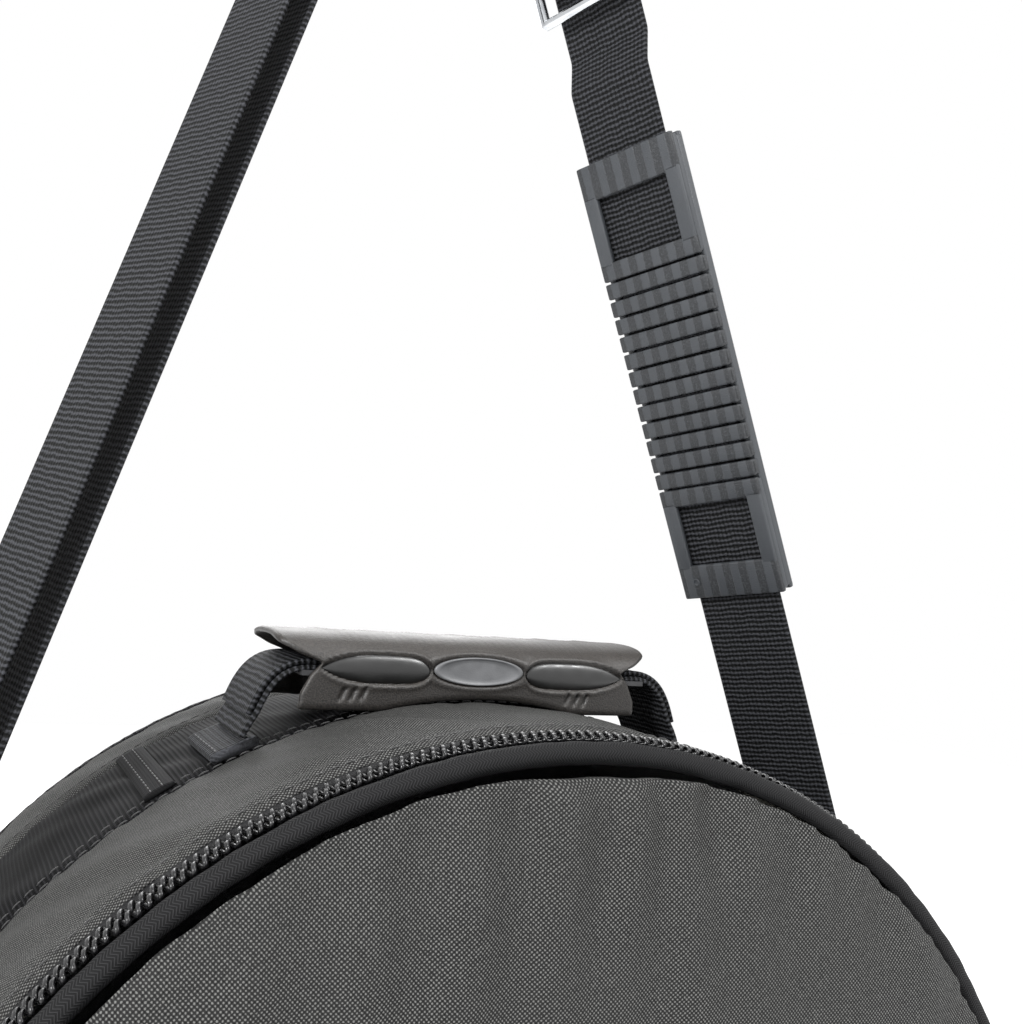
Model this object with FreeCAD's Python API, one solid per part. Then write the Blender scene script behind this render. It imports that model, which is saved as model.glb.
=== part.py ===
"""Arched skate bag with a drop-down front flap, a carry handle and a padded shoulder strap.

Millimetres, +Z up.  X runs across the bag, the zipped front faces -Y, and the origin is on the
floor under the middle of the bag.  The strap is modelled held up, as when someone lifts it.
"""
import FreeCAD
import Part
import math
import os

V = FreeCAD.Vector

# ---------------------------------------------------------------- overall sizes
BAG_HEIGHT = 370.0          # floor to the top of the arch
ARCH_R = 185.0              # outer radius of the arch, and half the bag's width
BACK_Y = 88.0               # outer face of the back panel
ZIP_Y = -86.2               # middle of the zip chain, at the front edge of the gusset
BASE_CORNER_R = 35.0        # rounding where the base turns up into the sides
FOLD_Z = 36.0               # height of the fold that the front flap opens on
BASE_SEAM_Z = 36.0          # height of the seam between the base and the gusset

# ---------------------------------------------------------------- cloth layers
FABRIC = 1.0                # coated woven polyester
FOAM = 5.0                  # foam between fabric and lining
LINING = 0.8
LAYER_GAP = 0.05            # sewn layers lie this close
SEAM_GAP = 0.1              # butted panels at a seam
MOVING_GAP = 0.5            # soft pieces on different bodies keep this far apart
STRIP_UNDER_PAD = 2.0       # the front strip reaches this far under the handle's sewn pads
STRIP_BACK_SEAM_Y = 54.0    # seam between the middle and back gusset strips
PIPING_R = 2.0              # corded piping round the back panel
BOARD = 3.0                 # stiffener board in the base

# ---------------------------------------------------------------- zip
COIL_R = 1.5                # half the height of one row of coil
COIL_GAP = 0.65             # half the space between the two rows
COIL_PROUD = 0.3            # how far the coil stands above the gusset fabric
TAPE = 0.7
TAPE_SHOWING = 5.5          # gusset side tape between the coil and the seam
TAPE_UNDER = 5.5            # tape that runs on under the gusset fabric
TAPE_LIP = 5.0              # flap side tape, from the coil forward to where it turns down
TAPE_FLANGE = 11.0          # flap side tape, down the front face and under the panel
ZIP_END_Z = 46.0            # the chain stops here at both sides
SLIDER_LENGTH = 16.0
SLIDER_WIDTH = 13.0
SLIDER_PLATE = 1.4
SLIDER_GAP = 0.6            # slider plates to coil
SLIDER_A_DEG = 78.0         # first slider, degrees from the top of the arch towards +X
SLIDER_B_DROP = 15.0        # second slider, on the straight side this far below the arch's middle
PULL_LENGTH = 26.0
PULL_WIDTH = 8.0
PULL_THICK = 1.8
PULL_PIN_R = 1.1
PULL_ARM = 1.2
CHEEK = 1.2                 # cheeks of the slider that carry the pull's pin
CHEEK_GAP = 0.3
CHEEK_HALF = 2.4            # half the length of a cheek, along the zip
CHEEK_CAP = 2.2             # cheek above the pin's middle
PIN_RISE = 2.6              # the pin's middle above the slider's top plate
SLIDER_CORNER = 3.0
PULL_ARM_REACH = 8.0
PULL_TAB_START = 5.0
PULL_CORNER = 2.5
STOP_HALF = 1.6             # half the width of a moulded end stop
STOP_LENGTH = 4.0

# ---------------------------------------------------------------- front flap
PANEL_INSET = 9.0           # edge of the padded panel inside the bag's outline
PANEL_DEPTH = 7.8           # how far the padded panel stands in front of the tape
PANEL_ROUND = 6.0

# ---------------------------------------------------------------- webbing and handle
WEBBING = 38.0
WEB_THICK = 1.8
GRIP_LENGTH = 141.0
GRIP_WIDTH = 45.0
GRIP_ABOVE_BAG = 21.0       # top of the grip above the bag's crest
GRIP_HEIGHT = 23.0
GRIP_WALL = 2.5
GRIP_CROWN = 5.0            # the grip's rounded top
GRIP_RELIEF = 6.0           # rise of the arch along the grip's lower edge
GRIP_RELIEF_END = 12.0      # the arch stops this far from the grip's ends
HANDLE_WEB_DROP = 11.0      # middle of the webbing below the grip's top
HANDLE_BULGE = 11.5         # how far the webbing swells out past the grip's end
KEEPER_THICK = 1.6
KEEPER_SHORT = 8.0          # keeper plate stops this far inside the grip's ends
HANDLE_LIFT = 14.0          # slack in the handle's webbing
HANDLE_ROOT_X = 80.0
FOOT_BACK = 3.0             # the webbing ends this far inside its root
FOOT_EASE = 1.04            # and follows the pad's slope, very slightly steeper
ANCHOR_LENGTH = 16.0
ANCHOR_THICK = 3.6
BADGE_LENGTH = 33.0
BADGE_HEIGHT = 10.0
BADGE_THICK = 1.2
BADGE_PROUD = 0.3
BADGE_MIDDLE_X = -3.0

# ---------------------------------------------------------------- shoulder strap
RING_Y = 8.0                # both D-rings lie in this plane
HOOK_RISE = 20.0            # each hook bears on its ring this far above the arch's middle
HOOK_OUT_RIGHT = 12.2       # and this far plus the hook's bore outside the bag
HOOK_OUT_LEFT = 6.0
APEX_X = -26.2              # where the two straight runs would meet
APEX_RISE = 584.9           # and how far above the hooks' bearing points
APEX_R = 34.0               # bend of the strap over the hand or shoulder
STRAP_TWIST = 20.0          # degrees the strap is turned about the vertical
OUTER_OUT = 5.3             # the loop's outer layer, outside the strap's line
INNER_OUT = -3.2            # the loop's inner layer, inside it
TWIST_START = 62.0          # the strap lies square at the hook and turns from here
TWIST_LENGTH = 50.0
APEX_STEPS = 12
SEWN_BACK = 40.0            # webbing turned back and sewn at the right hook
RING_WIRE_R = 2.0
RING_BAR_OUT = 11.0         # the ring's bar outside the bag
RING_BAR_DROP = 3.0         # and below the arch's middle
RING_SHOULDER = 0.35        # share of the ring's height that is straight
TAB_LENGTH = 60.0           # webbing tab below the ring's bar
TAB_FREE = 30.0             # of which this much is free above the stitching
HOOK_THICK = 5.0
HOOK_BORE_R = 8.0           # inside of the hook
HOOK_RIM = 4.5
HOOK_SEAT = 1.5             # free space between ring and hook
NECK_R = 5.5
NECK_TOP = 29.0
POST_R = 2.5
RUNNING_CLEARANCE = 0.05
LOOP_CLEARANCE = 0.2        # webbing folded round a bar
EYE_BAR_R = 2.0
EYE_BAR_P = 46.0            # eye's upper bar above the bearing point, along the strap
GATE_PIN_R = 0.9
GATE_THICK = 2.0
GATE_SIDE_GAP = 0.7         # gate to each cheek of the fork
GATE_RIM_GAP = 0.3          # the gate is this much slimmer than the hook's rim
GATE_PIN_DEG = 50.0         # angles round the hook, from straight outwards
GATE_TIP_DEG = -11.0
MOUTH_LOW_DEG = -14.0
MOUTH_HIGH_DEG = 38.0
FORK_LOW_DEG = 30.0
FORK_HIGH_DEG = 72.0
JAW_LOW_DEG = -36.0         # the jaw is cut back from here, clear of the gate's tip
JAW_GAP = 0.35
HEAD_R = 3.6                # riveted head of the swivel's post
HEAD_LOW = 16.0
HEAD_HIGH = 18.5
HEAD_ROOM_LOW = 15.0        # pocket that the head turns in
HEAD_ROOM_HIGH = 20.0
HEAD_ROOM_R = 4.1
PIN_END = 0.4               # the gate's pin stands out this far at each side
SPRING_R = 1.7
SPRING_LOW = 0.1
SPRING_HIGH = 0.5
BAR_ROOM = 1.0              # bar to webbing at each edge
PAD_LENGTH = 180.0
PAD_WIDTH = 47.0
PAD_THICK = 8.0
PAD_SLOT_SPACE = 0.7        # pad slot to webbing
PAD_RISE = 292.0            # the pad's middle above the hooks' bearing points
PAD_RAIL = 6.5              # width of the frame beside the windows
PAD_CORNER_R = 6.0
PAD_CROSS_BAR = 7.5         # bar between each window and the slats
PAD_WINDOW = 25.0
PAD_END_BAR = 14.0
PAD_SLATS = 12
PAD_SLIT = 1.0
ADJUSTER_RISE = 441.0       # the adjuster above the hooks' bearing points
ADJUSTER_LENGTH = 26.0
ADJUSTER_WIRE_R = 2.0
ADJUSTER_MIDDLE_R = 1.8     # the middle bar, which the sewn end is folded round
ADJUSTER_PLAY = 12.0        # travel of the adjuster each way
ADJUSTER_ROOM = 1.5         # adjuster bar to webbing at each edge
JOG_START = 42.0            # the webbing moves out to the outer layer this far below the adjuster
JOG_END = 30.0
END_SPARE = 3.0             # webbing beyond the adjuster's travel
BAR_LEAD = 10.0             # webbing leaves a bar straight by this distance
SEWN_END_LENGTH = 42.0
SEWN_TAIL_SHORT = 12.0      # the tail underneath is shorter by this
ADJUSTER_LEAD = 9.0

# ---------------------------------------------------------------- worked out
ARCH_Z = BAG_HEIGHT - ARCH_R
STRIP_FRONT_SEAM_Y = STRIP_UNDER_PAD - WEBBING / 2   # between the front and middle gusset strips
GRIP_TOP_Z = BAG_HEIGHT + GRIP_ABOVE_BAG
SLIDER_B_Z = ARCH_Z - SLIDER_B_DROP
HOOK_Z = ARCH_Z + HOOK_RISE
HOOK_X_RIGHT = ARCH_R + HOOK_BORE_R + HOOK_OUT_RIGHT
HOOK_X_LEFT = -(ARCH_R + HOOK_BORE_R + HOOK_OUT_LEFT)
RING_BAR_X = ARCH_R + RING_BAR_OUT
RING_BAR_Z = ARCH_Z - RING_BAR_DROP
APEX_Z = HOOK_Z + APEX_RISE
PAD_MIDDLE_Z = HOOK_Z + PAD_RISE
ADJUSTER_Z = HOOK_Z + ADJUSTER_RISE
COIL_D = COIL_R - COIL_PROUD                     # depth of the coil's middle below the outline
ROW_Y = COIL_GAP + COIL_R                        # each row's middle from the chain's middle
GUSSET_ROW_Y = ZIP_Y + ROW_Y
FLAP_ROW_Y = ZIP_Y - ROW_Y
GUSSET_Y = GUSSET_ROW_Y + COIL_R + TAPE_SHOWING  # front edge of the gusset fabric
LAYERS_Y = GUSSET_Y + TAPE_UNDER + LAYER_GAP     # front edge of foam and lining
SIDE_END_Y = BACK_Y - 2 * PIPING_R - LAYER_GAP   # gusset layers stop short of the piping
LIP_Y = FLAP_ROW_Y - COIL_R - TAPE_LIP           # front face of the turned tape
FRONT_Y = LIP_Y - TAPE - PANEL_DEPTH             # outermost face of the flap
FOAM_INSET = FABRIC + LAYER_GAP
LINING_INSET = FOAM_INSET + FOAM + LAYER_GAP
INNER_INSET = LINING_INSET + LINING
HUGE = 2000.0
os.makedirs("parts", exist_ok=True)


# ---------------------------------------------------------------- shape helpers
def outline(inset, y):
    """The bag's closed front outline, moved inwards by inset, in the plane at y."""
    half = ARCH_R - inset
    corner = BASE_CORNER_R - inset
    low = inset
    diag = corner * math.sqrt(0.5)
    flat = half - corner

    def p(x, z):
        return V(x, y, z)

    edges = [
        Part.makeLine(p(-flat, low), p(flat, low)),
        Part.Arc(p(flat, low), p(flat + diag, low + corner - diag), p(half, low + corner)).toShape(),
        Part.makeLine(p(half, low + corner), p(half, ARCH_Z)),
        Part.Arc(p(half, ARCH_Z), p(0, ARCH_Z + half), p(-half, ARCH_Z)).toShape(),
        Part.makeLine(p(-half, ARCH_Z), p(-half, low + corner)),
        Part.Arc(p(-half, low + corner), p(-flat - diag, low + corner - diag), p(-flat, low)).toShape(),
    ]
    return Part.Wire(edges)


def plate(inset, y0, y1):
    """A slab with the bag's outline, from y0 to y1."""
    return Part.Face(outline(inset, y0)).extrude(V(0, y1 - y0, 0))


def band(outer, inner, y0, y1):
    """A wall that follows the outline, between two insets."""
    return plate(outer, y0, y1).cut(plate(inner, y0 - 1, y1 + 1))


def above(shape, z):
    return shape.common(Part.makeBox(HUGE, HUGE, HUGE, V(-HUGE / 2, -HUGE / 2, z)))


def below(shape, z):
    return shape.common(Part.makeBox(HUGE, HUGE, HUGE, V(-HUGE / 2, -HUGE / 2, z - HUGE)))


def block(x0, x1, y0, y1, z0, z1):
    return Part.makeBox(x1 - x0, y1 - y0, z1 - z0, V(x0, y0, z0))


def rod(start, end, radius):
    return Part.makeCylinder(radius, (end - start).Length, start, end - start)


def joined(shapes):
    result = shapes[0]
    for shape in shapes[1:]:
        result = result.fuse(shape)
    return result.removeSplitter()


def outline_rod(inset, y, radius, low_z):
    """A round cord that follows the outline above low_z; below the base seam it is left out."""
    half = ARCH_R - inset
    arch = Part.makeTorus(half, radius, V(0, y, ARCH_Z), V(0, 1, 0))
    arch = above(arch, ARCH_Z)
    legs = [rod(V(side * half, y, low_z), V(side * half, y, ARCH_Z), radius) for side in (-1, 1)]
    return joined([arch] + legs)


def ribbon(stations, thickness, half_width):
    """A flat strap through stations, each a point in the strap's plane and the direction across it."""
    sections = []
    last = len(stations) - 1
    for i, (point, across) in enumerate(stations):
        before = point - stations[max(i - 1, 0)][0]
        after = stations[min(i + 1, last)][0] - point
        if i == 0:
            before = after
        if i == last:
            after = before
        before.normalize()
        after.normalize()
        forward = before + after
        forward.normalize()
        through = forward.cross(across)
        through.normalize()
        through = through * (thickness / 2 / max(forward.dot(before), 0.5))
        side = across * half_width
        corners = [point + side + through, point - side + through,
                   point - side - through, point + side - through]
        sections.append(Part.makePolygon(corners + corners[:1]))
    return Part.makeLoft(sections, True, True)


def level(points, y):
    """Stations of a strap that lies square across Y."""
    return [(V(x, y, z), V(0, -1, 0)) for x, z in points]


def arc_points(cx, cz, radius, start_deg, end_deg, count):
    """Points on a circle, angles measured from +X towards +Z."""
    angles = [math.radians(start_deg + (end_deg - start_deg) * i / count) for i in range(count + 1)]
    return [(cx + radius * math.cos(a), cz + radius * math.sin(a)) for a in angles]


def export(name, shape):
    shape.exportStep("parts/%s.step" % name)


# ---------------------------------------------------------------- bag body
def make_shell():
    """Outer fabric, foam, lining and the stiffened base."""
    base_front = LIP_Y
    tray = below(band(0, FABRIC, base_front, SIDE_END_Y), BASE_SEAM_Z - SEAM_GAP)
    export("base_panel", tray)
    seams = [GUSSET_Y, STRIP_FRONT_SEAM_Y, STRIP_BACK_SEAM_Y, SIDE_END_Y + SEAM_GAP]
    for name, y0, y1 in zip(("gusset_front_strip", "gusset_middle_strip", "gusset_back_strip"),
                            seams, seams[1:]):
        export(name, above(band(0, FABRIC, y0, y1 - SEAM_GAP), BASE_SEAM_Z))
    export("gusset_foam", above(band(FOAM_INSET, FOAM_INSET + FOAM, LAYERS_Y, SIDE_END_Y), BASE_SEAM_Z))
    back_lining_y = BACK_Y - FABRIC - FOAM - 2 * LAYER_GAP - LINING
    export("gusset_lining", band(LINING_INSET, INNER_INSET, LAYERS_Y, back_lining_y - LAYER_GAP))
    board_half = ARCH_R - BASE_CORNER_R - FABRIC
    board_top = FOAM_INSET + BOARD
    export("base_board", block(-board_half, board_half, LAYERS_Y, SIDE_END_Y, FOAM_INSET, board_top))
    foam_low = board_top + LAYER_GAP
    export("base_foam", block(-board_half, board_half, LAYERS_Y, SIDE_END_Y, foam_low,
                              LINING_INSET - LAYER_GAP))
    rim = 2 * PIPING_R + LAYER_GAP
    fabric_y = BACK_Y - FABRIC
    export("back_panel", plate(rim, fabric_y, BACK_Y))
    foam_y = fabric_y - LAYER_GAP
    export("back_foam", plate(INNER_INSET + LAYER_GAP, foam_y - FOAM, foam_y))
    export("back_lining", plate(INNER_INSET + LAYER_GAP, back_lining_y, back_lining_y + LINING))
    export("back_piping", outline_rod(PIPING_R, BACK_Y - PIPING_R, PIPING_R, BASE_CORNER_R))
    face = plate(FOAM_INSET, LIP_Y - TAPE, LIP_Y)
    raised = crowned(PANEL_INSET, FRONT_Y, LIP_Y - TAPE, PANEL_ROUND)
    export("front_lower_panel", below(joined([face, raised]),
                                      FOLD_Z - MOVING_GAP))


def crowned(inset, y0, y1, rounding):
    """A padded panel: a slab whose front edge is rounded over."""
    slab = plate(inset, y0, y1)
    front_edges = [e for e in slab.Edges if abs(e.BoundBox.YMin - y0) < 1e-6 and e.BoundBox.YLength < 1e-6]
    return slab.makeFillet(rounding, front_edges)


def make_handle_anchors():
    """Folded webbing pads that the handle's ends are sewn to, on the crest of the gusset."""
    turn = math.degrees(math.asin(HANDLE_ROOT_X / ARCH_R))
    half_turn = math.degrees(ANCHOR_LENGTH / 2 / ARCH_R)
    for name, side in (("handle_anchor_left", -1), ("handle_anchor_right", 1)):
        pad = Part.makeBox(ANCHOR_LENGTH, WEBBING, ANCHOR_THICK,
                           V(-ANCHOR_LENGTH / 2, -WEBBING / 2, ARCH_R + MOVING_GAP / 2))
        sag = ARCH_R * (1 - math.cos(math.radians(half_turn)))
        pad.translate(V(0, 0, sag))
        pad.rotate(V(0, 0, 0), V(0, 1, 0), side * turn)
        pad.translate(V(0, 0, ARCH_Z))
        export(name, pad)


def ring_frame(side):
    """Bearing point, and the D-ring's own upward direction, for one side."""
    bear = V(HOOK_X_RIGHT if side > 0 else HOOK_X_LEFT, RING_Y, HOOK_Z)
    bar = V(side * RING_BAR_X, RING_Y, RING_BAR_Z)
    return bear, bar


def placed(shape, origin, up):
    """Move a shape drawn with its own z up and y along Y to origin, with z along up."""
    across = V(0, 1, 0)
    turn = FreeCAD.Rotation(across.cross(up), across, up, "ZYX")
    moved = shape.copy()
    moved.Placement = FreeCAD.Placement(origin, turn).multiply(shape.Placement)
    return moved


def wire_frame(half_width, low, high, radius):
    """A rectangle bent from round wire, in the YZ plane."""
    corners = [V(0, -half_width, low), V(0, half_width, low), V(0, half_width, high), V(0, -half_width, high)]
    frame = rod(corners[3], corners[0], radius)
    for start, end in zip(corners, corners[1:]):
        frame = frame.fuse(Part.makeSphere(radius, start)).fuse(rod(start, end, radius))
    return frame.fuse(Part.makeSphere(radius, corners[3]))


def make_ring_tabs():
    """D-rings and the webbing tabs that hold them to the sides of the bag."""
    inner = WEBBING / 2 + BAR_ROOM
    for label, side in (("left", -1), ("right", 1)):
        bear, bar = ring_frame(side)
        up = bear - bar
        height = up.Length
        up.normalize()
        reach = inner + RING_WIRE_R
        shoulder = height * RING_SHOULDER
        wire = Part.Wire([
            Part.makeLine(V(0, -reach, 0), V(0, reach, 0)),
            Part.makeLine(V(0, reach, 0), V(0, reach, shoulder)),
            Part.Arc(V(0, reach, shoulder), V(0, 0, height), V(0, -reach, shoulder)).toShape(),
            Part.makeLine(V(0, -reach, shoulder), V(0, -reach, 0)),
        ])
        pieces = []
        for edge in wire.Edges:
            start = edge.valueAt(edge.FirstParameter)
            along = edge.tangentAt(edge.FirstParameter)
            section = Part.Wire(Part.makeCircle(RING_WIRE_R, start, along))
            pieces.append(Part.Wire([edge]).makePipeShell([section], True, True))
            pieces.append(Part.makeSphere(RING_WIRE_R, start))
        export("d_ring_" + label, placed(joined(pieces), bar, up))
        make_tab(label, side, bar)


def make_tab(label, side, bar):
    """Webbing doubled round the ring's bar and sewn flat to the gusset below it."""
    wall = ARCH_R + LAYER_GAP + WEB_THICK / 2
    loop_r = RING_WIRE_R + LOOP_CLEARANCE + WEB_THICK / 2
    low = bar.z - TAB_LENGTH
    sewn = bar.z - TAB_FREE
    outer = [(wall + WEB_THICK + 2 * LAYER_GAP, low), (wall + WEB_THICK + 2 * LAYER_GAP, sewn)]
    around = arc_points(bar.x * side, bar.z, loop_r, 0, 180, 8)
    inner = [(wall, sewn + 4.0), (wall, low)]
    points = [(side * x, z) for x, z in outer + around + inner]
    export("ring_tab_" + label, ribbon(level(points, RING_Y), WEB_THICK, WEBBING / 2))


# ---------------------------------------------------------------- zip
def make_zip():
    """Both rows of coil, both tapes, the stops and the two sliders with their pulls."""
    export("zip_coil_gusset", outline_rod(COIL_D, GUSSET_ROW_Y, COIL_R, ZIP_END_Z))
    export("zip_coil_flap", outline_rod(COIL_D, FLAP_ROW_Y, COIL_R, ZIP_END_Z))
    tape_top = FABRIC + LAYER_GAP
    row_edge = GUSSET_ROW_Y + COIL_R
    tape = band(tape_top, tape_top + TAPE, row_edge, GUSSET_Y + TAPE_UNDER)
    export("zip_tape_gusset", above(tape, BASE_SEAM_Z + SEAM_GAP))
    lip = band(tape_top, tape_top + TAPE, LIP_Y, FLAP_ROW_Y - COIL_R)
    flange = band(tape_top, tape_top + TAPE_FLANGE, LIP_Y - TAPE, LIP_Y)
    export("zip_tape_flap", above(joined([lip, flange]), FOLD_Z + MOVING_GAP))
    stop_x = ARCH_R - COIL_D
    for label, side in (("left", -1), ("right", 1)):
        stop = block(side * stop_x - STOP_HALF, side * stop_x + STOP_HALF, GUSSET_ROW_Y - COIL_R, row_edge,
                     ZIP_END_Z - STOP_LENGTH, ZIP_END_Z - SEAM_GAP)
        export("zip_end_stop_" + label, stop)
    for name, angle, z in (("a", SLIDER_A_DEG, None), ("b", 90.0, SLIDER_B_Z)):
        centre = V(0, 0, ARCH_Z) if z is None else V(0, 0, z)
        for piece, shape in (("zip_slider_", slider_body()), ("zip_pull_", pull_tab())):
            shape.rotate(V(0, 0, 0), V(0, 1, 0), angle)
            shape.translate(centre)
            export(piece + name, shape)


def slider_body():
    """A zip slider drawn at the top of the arch: two plates, the web between the rows, a bridge."""
    middle = ARCH_R - COIL_D
    lift = COIL_R + SLIDER_GAP
    half_l = SLIDER_LENGTH / 2
    half_w = SLIDER_WIDTH / 2
    top = block(-half_l, half_l, ZIP_Y - half_w, ZIP_Y + half_w, middle + lift, middle + lift + SLIDER_PLATE)
    low = block(-half_l, half_l, ZIP_Y - half_w, ZIP_Y + half_w, middle - lift - SLIDER_PLATE, middle - lift)
    top = top.makeFillet(SLIDER_CORNER, [e for e in top.Edges if e.BoundBox.ZLength > SLIDER_PLATE / 2])
    low = low.makeFillet(SLIDER_CORNER, [e for e in low.Edges if e.BoundBox.ZLength > SLIDER_PLATE / 2])
    web_half = half_l - SLIDER_CORNER
    web = block(-web_half, web_half, ZIP_Y - COIL_GAP / 2, ZIP_Y + COIL_GAP / 2, middle - lift, middle + lift)
    cheek_low = middle + lift + SLIDER_PLATE / 2
    pin = pull_pin()
    cheeks = []
    for side in (-1, 1):
        inner = PULL_WIDTH / 2 - PULL_ARM - CHEEK - CHEEK_GAP
        y0 = ZIP_Y + (inner if side > 0 else -inner - CHEEK)
        cheeks.append(block(-CHEEK_HALF, CHEEK_HALF, y0, y0 + CHEEK, cheek_low, pin.z + CHEEK_CAP))
    bore = rod(V(0, ZIP_Y - half_w, pin.z), V(0, ZIP_Y + half_w, pin.z), PULL_PIN_R + RUNNING_CLEARANCE)
    return joined([top, low, web] + cheeks).cut(bore)


def pull_pin():
    """Middle of the pull's pin above the slider at the top of the arch."""
    return V(0, ZIP_Y, ARCH_R - COIL_D + COIL_R + SLIDER_GAP + SLIDER_PLATE + PIN_RISE)


def pull_tab():
    """The pull: a pin that turns in the slider's cheeks and a stiff tab lying along the zip."""
    pin = pull_pin()
    half = PULL_WIDTH / 2
    barrel = rod(V(0, ZIP_Y - half, pin.z), V(0, ZIP_Y + half, pin.z), PULL_PIN_R)
    z0 = pin.z - PULL_THICK / 2
    arm_y = half - PULL_ARM / 2
    arms = [block(0, PULL_ARM_REACH, ZIP_Y + side * arm_y - PULL_ARM / 2, ZIP_Y + side * arm_y + PULL_ARM / 2,
                  z0, z0 + PULL_THICK) for side in (-1, 1)]
    tab = block(PULL_TAB_START, PULL_LENGTH, ZIP_Y - half, ZIP_Y + half, z0, z0 + PULL_THICK)
    tab = tab.makeFillet(PULL_CORNER, [e for e in tab.Edges if e.BoundBox.ZLength > PULL_THICK / 2
                               and e.BoundBox.XMin > PULL_LENGTH - 1])
    return joined([barrel, tab] + arms)


# ---------------------------------------------------------------- front flap
def make_flap():
    """The padded front that drops down when the zip is open."""
    seat = LIP_Y - TAPE
    low = FOLD_Z + MOVING_GAP
    skin = crowned(PANEL_INSET, FRONT_Y, seat, PANEL_ROUND)
    hollow = crowned(PANEL_INSET + FABRIC, FRONT_Y + FABRIC, seat + 1, PANEL_ROUND - FABRIC)
    export("front_panel", above(skin.cut(hollow), low))
    core_inset = PANEL_INSET + FABRIC + LAYER_GAP
    core = crowned(core_inset, FRONT_Y + FABRIC + LAYER_GAP, seat - LAYER_GAP, PANEL_ROUND - FABRIC)
    export("front_foam", above(core, low))
    flange_edge = FABRIC + LAYER_GAP + TAPE_FLANGE
    export("front_lining", above(plate(flange_edge + LAYER_GAP, seat, seat + LINING), low))


# ---------------------------------------------------------------- carry handle
def grip_section(width, top, low, crown):
    """Cross-section of the grip in the YZ plane: straight cheeks under a crowned top."""
    half = width / 2
    shoulder = top - crown
    wire = Part.Wire([
        Part.makeLine(V(0, -half, low), V(0, -half, shoulder)),
        Part.Arc(V(0, -half, shoulder), V(0, 0, top), V(0, half, shoulder)).toShape(),
        Part.makeLine(V(0, half, shoulder), V(0, half, low)),
        Part.makeLine(V(0, half, low), V(0, -half, low)),
    ])
    return Part.Face(wire)


def make_handle():
    """A moulded grip over webbing whose two ends come down to the gusset."""
    half = GRIP_LENGTH / 2
    low = GRIP_TOP_Z - GRIP_HEIGHT
    outer = grip_section(GRIP_WIDTH, GRIP_TOP_Z, low, GRIP_CROWN)
    outer.translate(V(-half, 0, 0))
    body = outer.extrude(V(GRIP_LENGTH, 0, 0))
    channel_w = GRIP_WIDTH - 2 * GRIP_WALL
    channel = grip_section(channel_w, GRIP_TOP_Z - GRIP_WALL, low - 5, GRIP_CROWN - 1)
    channel.translate(V(-half - 1, 0, 0))
    body = body.cut(channel.extrude(V(GRIP_LENGTH + 2, 0, 0)))
    span = half - GRIP_RELIEF_END
    arch_r = (span * span + GRIP_RELIEF * GRIP_RELIEF) / (2 * GRIP_RELIEF)
    arch_z = low + GRIP_RELIEF - arch_r
    relief = Part.makeCylinder(arch_r, GRIP_WIDTH + 2, V(0, -GRIP_WIDTH / 2 - 1, arch_z), V(0, 1, 0))
    body = body.cut(relief)
    badge_y = -GRIP_WIDTH / 2
    badge_z = GRIP_TOP_Z - GRIP_CROWN - BADGE_HEIGHT / 2 - BADGE_PROUD
    seat = badge_shape(badge_y - 1.0, badge_y + BADGE_THICK, badge_z, RUNNING_CLEARANCE)
    export("grip_body", body.cut(seat))
    export("grip_badge", badge_shape(badge_y - BADGE_PROUD, badge_y + BADGE_THICK - LAYER_GAP, badge_z, 0.0))
    web_z = GRIP_TOP_Z - HANDLE_WEB_DROP
    foot_turn = math.asin(HANDLE_ROOT_X / ARCH_R)
    foot_z = ARCH_Z + (ARCH_R + 3 * MOVING_GAP + ANCHOR_THICK) * math.cos(foot_turn) + WEB_THICK / 2
    mouth = half + HANDLE_BULGE / 4
    widest = half + HANDLE_BULGE
    side_pts = [(half - HANDLE_BULGE / 2, web_z), (mouth, web_z - 1.2), (widest - 1.5, web_z - 6.0),
                (widest, web_z - 11.0), (HANDLE_ROOT_X + 1.5, foot_z + 3.0),
                (HANDLE_ROOT_X - FOOT_BACK, foot_z + FOOT_BACK * math.tan(foot_turn) * FOOT_EASE)]
    left = [(-x, z) for x, z in side_pts[::-1]]
    export("handle_webbing", ribbon(level(left + side_pts, 0.0), WEB_THICK, WEBBING / 2))
    keeper_top = web_z - WEB_THICK / 2 - LAYER_GAP
    keeper_half = half - KEEPER_SHORT
    keeper = block(-keeper_half, keeper_half, -channel_w / 2 + LAYER_GAP, channel_w / 2 - LAYER_GAP,
                   keeper_top - KEEPER_THICK, keeper_top)
    export("grip_keeper_plate", keeper)


def badge_shape(y0, y1, z, grow):
    """A long oval plate, standing in the XZ plane."""
    half_h = BADGE_HEIGHT / 2 + grow
    flat = BADGE_LENGTH / 2 - BADGE_HEIGHT / 2
    left = BADGE_MIDDLE_X - flat
    right = BADGE_MIDDLE_X + flat
    wire = Part.Wire([
        Part.makeLine(V(left, y0, z - half_h), V(right, y0, z - half_h)),
        Part.Arc(V(right, y0, z - half_h), V(right + half_h, y0, z), V(right, y0, z + half_h)).toShape(),
        Part.makeLine(V(right, y0, z + half_h), V(left, y0, z + half_h)),
        Part.Arc(V(left, y0, z + half_h), V(left - half_h, y0, z), V(left, y0, z - half_h)).toShape(),
    ])
    return Part.Face(wire).extrude(V(0, y1 - y0, 0))


# ---------------------------------------------------------------- shoulder strap
def strand(side):
    """Bearing point and upward direction of one straight run of the strap."""
    start = V(HOOK_X_RIGHT if side > 0 else HOOK_X_LEFT, RING_Y, HOOK_Z)
    up = V(APEX_X, RING_Y, APEX_Z) - start
    up.normalize()
    return start, up


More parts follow.
